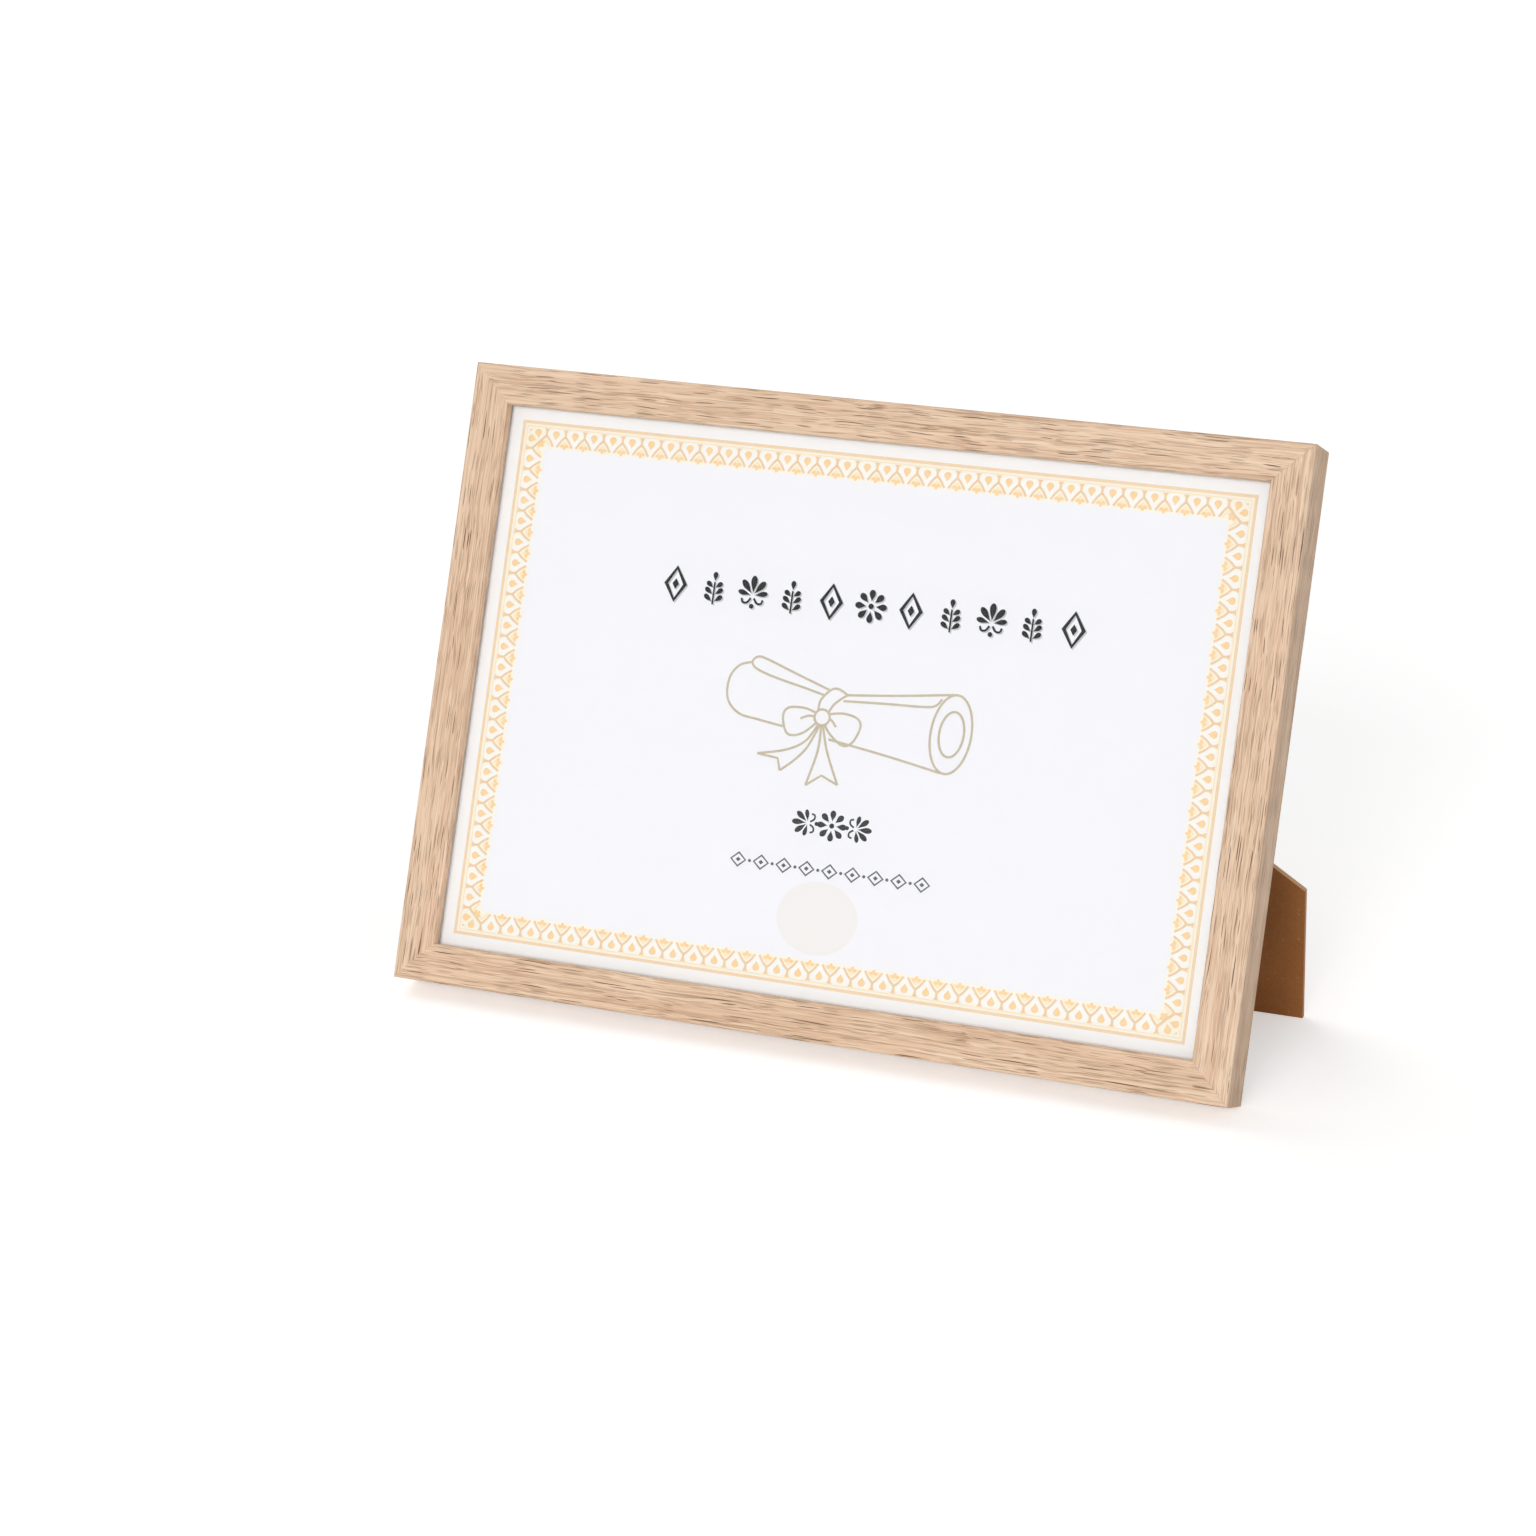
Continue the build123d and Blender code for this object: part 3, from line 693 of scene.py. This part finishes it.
def border_sides():
    """Each side's starting corner, its direction, the way inwards, its length and its count of drops."""
    x, y = SHEET_LENGTH / 2 - BAND_INSET, SHEET_HEIGHT / 2 - BAND_INSET
    return [
        (Vector((-x, y)), Vector((1, 0)), Vector((0, -1)), 2 * x, DROPS_TOP),
        (Vector((x, y)), Vector((0, -1)), Vector((-1, 0)), 2 * y, DROPS_SIDE),
        (Vector((x, -y)), Vector((-1, 0)), Vector((0, 1)), 2 * x, DROPS_BOTTOM),
        (Vector((-x, -y)), Vector((0, 1)), Vector((1, 0)), 2 * y, DROPS_SIDE),
    ]


def laid(face, start, along, inwards):
    """A face drawn as (distance along a side, depth inwards), laid on the sheet."""
    return [tuple(start + along * s + inwards * t) for s, t in face]


def line_frame(inset, width):
    """A rectangular line round the sheet, mitred at its corners."""
    x, y = SHEET_LENGTH / 2 - inset, SHEET_HEIGHT / 2 - inset
    outer = [(-x, -y), (x, -y), (x, y), (-x, y)]
    inner = [(px - math.copysign(width, px), py - math.copysign(width, py)) for px, py in outer]
    return [[outer[k], outer[(k + 1) % 4], inner[(k + 1) % 4], inner[k]] for k in range(4)]


def band_ground(length, pitch):
    """The cream ground of the band, with a scalloped inner edge, for one side."""
    faces = []
    steps = int(round(length / pitch)) * SCALLOP_STEPS
    for k in range(steps):
        ends = []
        for at in (length * k / steps, length * (k + 1) / steps):
            depth = BAND_DEPTH + BAND_SCALLOP - BAND_SCALLOP * abs(math.sin(math.pi * at / pitch))
            ends.append(((at, 0.0), (min(max(at, depth), length - depth), depth)))
        (a, b), (c, d) = ends
        faces.append([a, c, d, b] if b != d else [a, c, d])
    return faces


def corner_shapes(pitch):
    """A corner's arm, pale line, buds with dots, and petals, as (along one side, along the other) pairs."""
    depth = STEM_END - CORNER_ARM_SINK
    chord = ribbon([(pitch, depth), (depth, pitch)], ARM_WIDTH)
    along, inwards = CORNER_PALE_SHIFT
    far, near = pitch + along, STEM_END + inwards
    pale = ribbon([(far, near), (near, far)], CHEVRON_WIDTH)
    bud = moved(drop(0.0, 0.0, BUD_HEIGHT, BUD_HALF), *CORNER_BUD)
    buds = [bud, [(y, x) for x, y in bud]]
    dots = [oval(x, y, radius, radius, count) for x, y, radius, count in CORNER_DOTS]
    diagonal = CORNER_FLOWER_AT * pitch
    flower_faces = flower(0.0, CORNER_FLOWER_SINK)
    petals = [moved(face, diagonal, diagonal, -math.pi / 4) for face in flower_faces]
    return chord, pale, buds + dots, petals


def add_border(inks):
    """The whole border. Shapes that cross each other are kept in layers or pieces of their own."""
    ground, drops, chords, stems, pale, corner_pale, buds, petals = ([] for _ in range(8))
    long_side_arms, short_side_arms = [], []
    for start, along, inwards, length, count in border_sides():
        pitch = length / count
        half = pitch / 2
        place = (start, along, inwards)
        own_arms = long_side_arms if along.y == 0 else short_side_arms
        ground += [laid(face, *place) for face in band_ground(length, pitch)]
        for k in range(1, count):
            stems += [laid(face, *place) for face in stem(k * pitch)]
            own_arms.extend(laid(face, *place) for face in arms(k * pitch, half))
            pale += [laid(face, *place) for face in chevron(k * pitch, half)]
        for k in range(2, count - 1):
            petals += [laid(face, *place) for face in flower(k * pitch, FLOWER_DEPTH)]
        for k in range(1, count - 1):
            middle = (k + 0.5) * pitch
            drops.append(laid(drop(middle, DROP_FOOT, DROP_HEIGHT, half - DROP_MARGIN), *place))
            buds.append(laid(drop(middle, BUD_FOOT, BUD_HEIGHT, BUD_HALF), *place))
        for shapes, faces in zip((chords, corner_pale, buds, petals), corner_shapes(pitch)):
            shapes.extend(laid(face, *place) for face in faces)
    ground += line_frame(BORDER_INSET + BORDER_LINE, BORDER_GAP)
    for part, layers, colour in (
        ("ground", [ground], "ground"),
        ("drops", [drops], "white"),
        ("chevrons", [pale, corner_pale], "gold_pale"),
        ("arms", [long_side_arms, short_side_arms, chords], "gold_deep"),
        ("stems", [stems], "gold_deep"),
        ("buds", [buds], "gold"),
        ("flowers", [petals], "gold"),
    ):
        printed("border_" + part, layers, inks[colour], lift=BORDER_LIFTS[part])
    printed("border_line", [line_frame(BORDER_INSET, BORDER_LINE)], inks["line"])
    thin = line_frame(BORDER_INSET + BORDER_LINE + BORDER_GAP, BORDER_THIN_LINE)
    printed("border_thin_line", [thin], inks["gold_pale"])


# Ornaments made of petals, in place of words. A petal or leaf is given as its length and half width,
# and a lozenge as its half width, half height and line
# How much shorter a fan's outermost petals are than its middle one
SPRAY_DROOP = 0.22
PALMETTE_LEAVES = 5
PALMETTE_SPREAD = math.radians(78)
PALMETTE_LEAF = (5.6, 1.05)
PALMETTE_HEART = 0.5
PALMETTE_SINK = -0.9
PALMETTE_CURL = ((0.5, -1.7), (1.5, -3.1), (2.9, -3.2), (3.4, -2.0))
PALMETTE_CURL_WIDTH = 0.65
PALMETTE_DOT_AT = -4.2
PALMETTE_DOT = 0.75
LOZENGE_HEART = 0.34
LEAF_STEM = ((0.0, -5.0), (0.0, 1.9))
LEAF_STEM_WIDTH = 0.55
# Each pair of leaves' height on the stem, with their length
LEAF_PAIRS = ((-4.2, 3.3), (-2.0, 3.2), (0.1, 2.8))
LEAF_HALF = 0.78
LEAF_OFFSET = 0.3
LEAF_TURN = math.radians(52)
TOP_LEAF = (3.0, 0.8)
TOP_LEAF_AT = 2.0
DOT_CORNERS = 14
TITLE_LOZENGE = (3.1, 5.0, 1.3)
TITLE_MIDDLE = (4.75, 42.5)
TITLE_PITCH = 15.2
TITLE_MOTIF_SIZE = 1.2
TITLE_SHADE_OFFSET = (0.55, -0.40)
TITLE_SHADE_LIFT = 0.01
TITLE_LIFT = 0.03
SMALL_ORNAMENT_MIDDLE = (1.2, -38.0)
SMALL_ORNAMENT_SIZE = 1.12
SMALL_PALMETTE_AT = 9.0
SMALL_PALMETTE_SIZE = 0.9
RULE_MIDDLE = (2.6, -54.5)
RULE_PITCH = 8.8
RULE_COUNT = 9
RULE_LOZENGE = (2.8, 2.5, 0.75)
RULE_DOT = 0.6
RULE_DOT_CORNERS = 12
ROSETTE_PETALS = 8
ROSETTE_HEART = 1.35
ROSETTE_PETAL = (3.7, 1.0)
ROSETTE_DOT = 0.62 * ROSETTE_HEART
ROSETTE_DOT_CORNERS = 18
SEAL_MIDDLE = (0.3, -71.85)
SEAL_RADII = (15.4, 13.3)
SEAL_LIFT = 0.008
SEAL_CORNERS = 72


def petal(length, half):
    """A drop with its point at the origin and its round end outwards."""
    return [(x, length - y) for x, y in drop(0.0, 0.0, length, half)]


def spray(count, spread, length, half, inner=0.0):
    """Petals fanned out from one point, the middle ones longest."""
    faces = []
    for k in range(count):
        share = 2 * k / (count - 1) - 1
        size = 1 - SPRAY_DROOP * share * share
        leaf = [(x * size, inner + y * size) for x, y in petal(length, half)]
        faces.append(moved(leaf, 0.0, 0.0, spread * share))
    return faces


def placed(faces, x, y, turn=0.0, size=1.0):
    """Faces turned, scaled and moved."""
    return [moved(face, x, y, turn, size) for face in faces]


def palmette():
    """A fan of petals over two small curls and a dot."""
    leaves = spray(PALMETTE_LEAVES, PALMETTE_SPREAD, *PALMETTE_LEAF, inner=PALMETTE_HEART)
    faces = placed(leaves, 0.0, PALMETTE_SINK)
    for side in (-1, 1):
        curl = [(x * side, y) for x, y in PALMETTE_CURL]
        faces += ribbon(smooth(curl), PALMETTE_CURL_WIDTH)
    faces.append(oval(0.0, PALMETTE_DOT_AT, PALMETTE_DOT, PALMETTE_DOT, DOT_CORNERS))
    return faces


def lozenge(half_width, half_height, line):
    """An upright lozenge outline with a small solid one inside."""
    corners = [(0.0, half_height), (half_width, 0.0), (0.0, -half_height), (-half_width, 0.0)]
    inside = [(x * LOZENGE_HEART, y * LOZENGE_HEART) for x, y in corners]
    return ribbon(corners, line, closed=True) + [inside]


def leaf_stem():
    """An upright stem with three pairs of leaves and one at its top."""
    faces = ribbon(LEAF_STEM, LEAF_STEM_WIDTH)
    for low, length in LEAF_PAIRS:
        for side in (-1, 1):
            faces.append(moved(petal(length, LEAF_HALF), LEAF_OFFSET * side, low, -LEAF_TURN * side))
    faces.append(moved(petal(*TOP_LEAF), 0.0, TOP_LEAF_AT))
    return faces


def rosette():
    """Petals all round a dot."""
    leaf = [(x, ROSETTE_HEART + y) for x, y in petal(*ROSETTE_PETAL)]
    faces = [moved(leaf, 0.0, 0.0, 2 * math.pi * k / ROSETTE_PETALS) for k in range(ROSETTE_PETALS)]
    faces.append(oval(0.0, 0.0, ROSETTE_DOT, ROSETTE_DOT, ROSETTE_DOT_CORNERS))
    return faces


def title_ornament():
    """Eleven motifs in a row, the same from the middle outwards."""
    diamond = lozenge(*TITLE_LOZENGE)
    half_row = [diamond, leaf_stem(), palmette(), leaf_stem(), diamond]
    row = half_row + [rosette()] + half_row
    middle = (len(row) - 1) / 2
    faces = []
    for index, motif in enumerate(row):
        faces += placed(motif, (index - middle) * TITLE_PITCH, 0.0, size=TITLE_MOTIF_SIZE)
    return faces


def small_ornament():
    """A rosette between two palmettes that lie on their sides."""
    faces = placed(rosette(), 0.0, 0.0)
    for side in (-1, 1):
        at = SMALL_PALMETTE_AT * side
        faces += placed(palmette(), at, 0.0, -math.pi / 2 * side, SMALL_PALMETTE_SIZE)
    return faces


def rule_ornament():
    """A row of small lozenges with dots between them."""
    faces = []
    middle = (RULE_COUNT - 1) / 2
    for index in range(RULE_COUNT):
        at = (index - middle) * RULE_PITCH
        faces += placed(lozenge(*RULE_LOZENGE), at, 0.0)
        if index:
            faces.append(oval(at - RULE_PITCH / 2, 0.0, RULE_DOT, RULE_DOT, RULE_DOT_CORNERS))
    return faces


# The rolled sheet tied with a bow: strokes through a few points each
STROKE_WIDTH = 0.85
SCROLL_END = (41.0, 0.2)
SCROLL_END_RADII = (7.6, 14.3)
SCROLL_HOLE = (41.2, 0.2)
SCROLL_HOLE_RADII = (4.6, 8.2)
SCROLL_END_TURN = math.radians(-3)
KNOT_MIDDLE = (-8.0, 0.5)
KNOT_RADIUS = 2.9
RING_CORNERS = 56
KNOT_CORNERS = 28
SHEET_EDGES = [
    [(0.6, 9.6), (20.0, 11.7), (40.0, 14.4)],
    [(-0.8, 7.3), (15.0, 8.2), (29.5, 8.8), (34.0, 9.8), (36.0, 12.4)],
    [(39.0, -14.0), (17.5, -10.3), (-4.5, -7.1)],
    [
        (-22.4, -4.5), (-32.0, -3.2), (-40.0, -1.8), (-45.0, 3.0), (-45.4, 10.5), (-42.2, 15.6),
        (-37.2, 17.4),
    ],
]
ROLLED_END = [
    [
        (-6.4, 10.6), (-19.5, 14.9), (-32.0, 19.1), (-35.6, 19.5), (-37.4, 17.4), (-35.3, 15.1),
        (-28.0, 12.8), (-16.0, 10.3), (-8.4, 8.6),
    ],
]
BANDS = [
    [(-9.8, 2.9), (-9.4, 6.6), (-6.2, 10.6), (-3.2, 11.4), (0.6, 9.6)],
    [(-5.8, 2.5), (-4.2, 5.6), (-1.4, 8.2), (0.6, 9.6)],
]
BOW_LOOPS = [
    [
        (-10.6, 1.9), (-15.2, 3.1), (-21.2, 2.5), (-22.9, -1.0), (-20.4, -6.9), (-15.0, -6.2),
        (-10.0, -1.8),
    ],
    [(-16.2, -0.9), (-13.6, 0.4), (-11.2, 0.6)],
    [
        (-5.4, 2.0), (0.0, 2.8), (5.4, 1.6), (6.9, -1.6), (4.6, -7.2), (1.0, -8.7),
        (-4.0, -5.4), (-6.6, -2.2),
    ],
    [(-5.1, 0.4), (-3.8, -0.6), (-2.3, -2.4)],
]
BOW_TAILS = [
    [(-9.2, -2.4), (-13.2, -8.8), (-20.2, -12.8), (-30.8, -15.4)],
    [(-8.6, -2.6), (-12.2, -11.0), (-16.6, -16.3), (-21.4, -20.5)],
    [(-7.9, -2.5), (-8.0, -12.0), (-10.9, -24.6)],
    [(-7.2, -2.5), (-4.4, -11.6), (1.2, -23.1)],
]
# The notched ends of the bow's tails, which have sharp corners
TAIL_ENDS = [
    [(-30.8, -15.4), (-22.8, -16.2), (-21.4, -20.5)],
    [(-10.9, -24.6), (-5.3, -20.4), (1.2, -23.1)],
]


def scroll_figure():
    """A rolled sheet with a band and a bow, as strokes."""
    curves = SHEET_EDGES + ROLLED_END + BANDS + BOW_LOOPS + BOW_TAILS
    strokes = [ribbon(smooth(points), STROKE_WIDTH) for points in curves]
    strokes += [ribbon(points, STROKE_WIDTH) for points in TAIL_ENDS]
    for middle, radii in ((SCROLL_END, SCROLL_END_RADII), (SCROLL_HOLE, SCROLL_HOLE_RADII)):
        ring = oval(*middle, *radii, RING_CORNERS, SCROLL_END_TURN)
        strokes.append(ribbon(ring, STROKE_WIDTH, closed=True))
    knot = oval(*KNOT_MIDDLE, KNOT_RADIUS, KNOT_RADIUS, KNOT_CORNERS)
    strokes.append(ribbon(knot, STROKE_WIDTH, closed=True))
    return strokes


def add_figures(inks):
    """The ornaments, the rolled sheet and the seal. Strokes that cross are layers of their own."""
    title = title_ornament()
    shade_x, shade_y = TITLE_SHADE_OFFSET
    shifted = placed(title, TITLE_MIDDLE[0] + shade_x, TITLE_MIDDLE[1] + shade_y)
    printed("title_shade", [shifted], inks["shade"], lift=TITLE_SHADE_LIFT)
    printed("title_ornament", [placed(title, *TITLE_MIDDLE)], inks["dark"], lift=TITLE_LIFT)
    small = placed(small_ornament(), *SMALL_ORNAMENT_MIDDLE, size=SMALL_ORNAMENT_SIZE)
    printed("small_ornament", [small], inks["soft"])
    printed("rule_ornament", [placed(rule_ornament(), *RULE_MIDDLE)], inks["grey"])
    printed("scroll_figure", scroll_figure(), inks["tan"])
    seal = [oval(*SEAL_MIDDLE, *SEAL_RADII, SEAL_CORNERS)]
    printed("seal_disc", [seal], inks["seal"], lift=SEAL_LIFT)


# Stage, light and world
FLOOR_COLOUR = (0.97, 0.97, 0.97, 1.0)
FLOOR_LIFT = 0.41
FLOOR_REACH = 6.0
WORLD_STRENGTH = 0.31
WORLD_COLOUR = (1.0, 0.993, 0.988, 1.0)
BACKGROUND_WHITE = 0.982
# Each lamp's strength, the spread of its light, its angle above the floor and its bearing from the front
LAMPS = {
    "front": (1.40, math.radians(20), math.radians(18), 0.0),
    "viewer": (0.15, math.radians(15), math.radians(16), math.radians(19)),
    "above": (0.11, math.radians(40), math.radians(66), math.radians(-50)),
    "left_behind": (0.64, math.radians(50), math.radians(43), math.radians(-118)),
    "right": (0.37, math.radians(40), math.radians(22), math.radians(78)),
}


def add_stage():
    """A white floor that keeps the part's shadow."""
    s = Shader("floor")
    camera_ray = s.node("LightPath").outputs["Is Camera Ray"]
    diffuse = s.node("BsdfDiffuse", {"Color": FLOOR_COLOUR}).outputs[0]
    lift = s.node("Emission", {"Strength": s.math("MULTIPLY", camera_ray, FLOOR_LIFT)}).outputs[0]
    material = s.finish(s.node("AddShader", {0: diffuse, 1: lift}).outputs[0])
    mesh = bpy.data.meshes.new("floor")
    corners = [(x * FLOOR_REACH, y * FLOOR_REACH, 0) for x, y in ((-1, -1), (1, -1), (1, 1), (-1, 1))]
    mesh.from_pydata(corners, [], [range(4)])
    mesh.materials.append(material)
    floor = added("floor", mesh)


def add_world():
    """An even pale surround, which the camera and reflections see as white."""
    world = bpy.data.worlds.new("studio")
    bpy.context.scene.world = world
    world.use_nodes = True
    tree = world.node_tree
    tree.nodes.clear()
    output = tree.nodes.new("ShaderNodeOutputWorld")
    path = tree.nodes.new("ShaderNodeLightPath")
    seen = path.outputs["Is Camera Ray"]
    for ray in ("Is Glossy Ray", "Is Transmission Ray"):
        either = tree.nodes.new("ShaderNodeMath")
        either.operation = "MAXIMUM"
        tree.links.new(seen, either.inputs[0])
        tree.links.new(path.outputs[ray], either.inputs[1])
        seen = either.outputs[0]
    mix = tree.nodes.new("ShaderNodeMixShader")
    tree.links.new(seen, mix.inputs[0])
    for slot, colour, strength in ((1, WORLD_COLOUR, WORLD_STRENGTH), (2, WHITE, BACKGROUND_WHITE)):
        background = tree.nodes.new("ShaderNodeBackground")
        background.inputs["Color"].default_value = colour
        background.inputs["Strength"].default_value = strength
        tree.links.new(background.outputs[0], mix.inputs[slot])
    tree.links.new(mix.outputs[0], output.inputs["Surface"])
    bpy.context.scene.view_settings.view_transform = "Standard"


def add_lamps():
    """Broad soft lamps, far off."""
    for name, (strength, spread, elevation, bearing) in LAMPS.items():
        light = bpy.data.lights.new(name, "SUN")
        light.energy = strength
        light.angle = spread
        lamp = added(name, light)
        lamp.rotation_euler = (math.pi / 2 - elevation, 0.0, bearing)
        lamp.location = (math.sin(bearing), -math.cos(bearing), 1.0)


# The pieces. Each rail has its grain's turn and its own place in the oak
UPRIGHT = math.pi / 2
RAIL_GRAINS = {
    "rail_top": (0.0, (0.0, 0.0, 0.0)),
    "rail_bottom": (0.0, (410.0, 37.0, 60.0)),
    "rail_left": (UPRIGHT, (150.0, 90.0, 240.0)),
    "rail_right": (UPRIGHT, (730.0, 20.0, 515.0)),
}
RAIL_EASE = 0.10 * MM
LEG_EASE = 0.25 * MM
BACK_EASE = 0.20 * MM
# The hardboards' light, dark, fleck and paler edge colours; the paler edge colour is wear with a painted highlight
LEG_COLOURS = (
    (0.500, 0.203, 0.060, 1.0),
    (0.315, 0.120, 0.033, 1.0),
    (0.68, 0.40, 0.20, 1.0),
    (0.78, 0.50, 0.30, 1.0),
)
BACK_COLOURS = (
    (0.275, 0.140, 0.065, 1.0),
    (0.160, 0.075, 0.032, 1.0),
    (0.42, 0.26, 0.14, 1.0),
)
# The cards' light and dark colours
CARDS = {
    "mount_board": ((0.86, 0.85, 0.82, 1.0), (0.80, 0.79, 0.76, 1.0)),
    "foam_board": ((0.90, 0.90, 0.89, 1.0), (0.84, 0.84, 0.83, 1.0)),
    "packing_card": ((0.50, 0.43, 0.35, 1.0), (0.40, 0.34, 0.27, 1.0)),
}
# Each slot's plating, with its roughness
PLATINGS = {
    "hinge_steel": ((0.70, 0.69, 0.66, 1.0), 0.36),
    "rivet_steel": ((0.66, 0.65, 0.64, 1.0), 0.30),
    "zinc_steel": ((0.72, 0.72, 0.71, 1.0), 0.34),
    "screw_steel": ((0.64, 0.64, 0.63, 1.0), 0.30),
}
GLAZING_BACK_GAP = 0.15 * MM
GLAZING_EDGE = 0.25 * MM
# Each ink's colour, and where it differs from a plain ink
INKS = {
    "gold": {"colour": (0.960, 0.665, 0.330, 1.0)},
    "gold_deep": {"colour": (0.868, 0.612, 0.365, 1.0)},
    "gold_pale": {"colour": (0.970, 0.800, 0.520, 1.0)},
    "line": {"colour": (0.910, 0.680, 0.435, 1.0)},
    "ground": {"colour": (0.976, 0.922, 0.815, 1.0), "shade": 0.02},
    "white": {"colour": (0.974, 0.948, 0.926, 1.0), "shade": 0.02},
    "dark": {"colour": (0.008, 0.008, 0.009, 1.0), "shade": 0.004, "specular": 0.12},
    "soft": {"colour": (0.030, 0.030, 0.032, 1.0), "shade": 0.01, "specular": 0.12},
    "grey": {"colour": (0.075, 0.073, 0.080, 1.0), "shade": 0.05},
    "shade": {"colour": (0.560, 0.560, 0.570, 1.0)},
    "tan": {"colour": (0.545, 0.465, 0.330, 1.0)},
    "seal": {"colour": (0.900, 0.870, 0.862, 1.0), "shade": 0.03},
}


def add_rails():
    """The four rails, each from its own stretch of the same oak."""
    for node, (turn, offset) in RAIL_GRAINS.items():
        eased(node, ROOT, oak("oak_" + node, turn, offset), RAIL_EASE)


def add_boards():
    """The leg, the back board and the cards between the sheet and the back."""
    eased("leg", LEG, hardboard("leg_hardboard", *LEG_COLOURS), LEG_EASE)
    eased("back_board", ROOT, hardboard("back_hardboard", *BACK_COLOURS), BACK_EASE)
    for node, colours in CARDS.items():
        paint(frame["nodes"][node], card(node, *colours))


def add_metal():
    """The hinge, rivets, hangers, nails, buttons and screws, by the slots of their nodes."""
    by_slot = {slot: plated_steel(slot, *look) for slot, look in PLATINGS.items()}
    for part in frame["record"]["subparts"]:
        if part["material_slot"] in by_slot:
            paint(frame["nodes"][part["node"]], by_slot[part["material_slot"]])


def add_glazing():
    """The pane, held a hair in front of the sheet, with arrised edges."""
    left, right = span("glazing", ACROSS)
    low, high = span("glazing", UP)
    front, back = span("glazing", BACK)
    back -= GLAZING_BACK_GAP
    size = (right - left, back - front, high - low)
    work = bmesh.new()
    bmesh.ops.create_cube(work, size=1.0)
    for vert in work.verts:
        vert.co = Vector(c * extent for c, extent in zip(vert.co, size))
    bmesh.ops.bevel(work, geom=work.edges[:], offset=GLAZING_EDGE, segments=1, affect="EDGES", profile=0.5)
    middle = BASE + UP * (low + high) / 2 + BACK * (front + back) / 2
    work.transform(Matrix.Translation(middle) @ Matrix.Rotation(-LEAN, 4, "X"))
    mesh = bpy.data.meshes.new("glazing_pane")
    work.to_mesh(mesh)
    work.free()
    pane = added("glazing_pane", mesh)
    paint(pane, clear_glazing())
    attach(pane, ROOT)
    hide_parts("glazing")


def add_print():
    """The sheet and everything printed on it."""
    paint(frame["nodes"]["certificate_sheet"], paper())
    inks = {name: ink("ink_" + name, **look) for name, look in INKS.items()}
    add_border(inks)
    add_figures(inks)


add_camera()
add_world()
add_lamps()
add_stage()
add_rails()
add_boards()
add_metal()
add_print()
add_glazing()
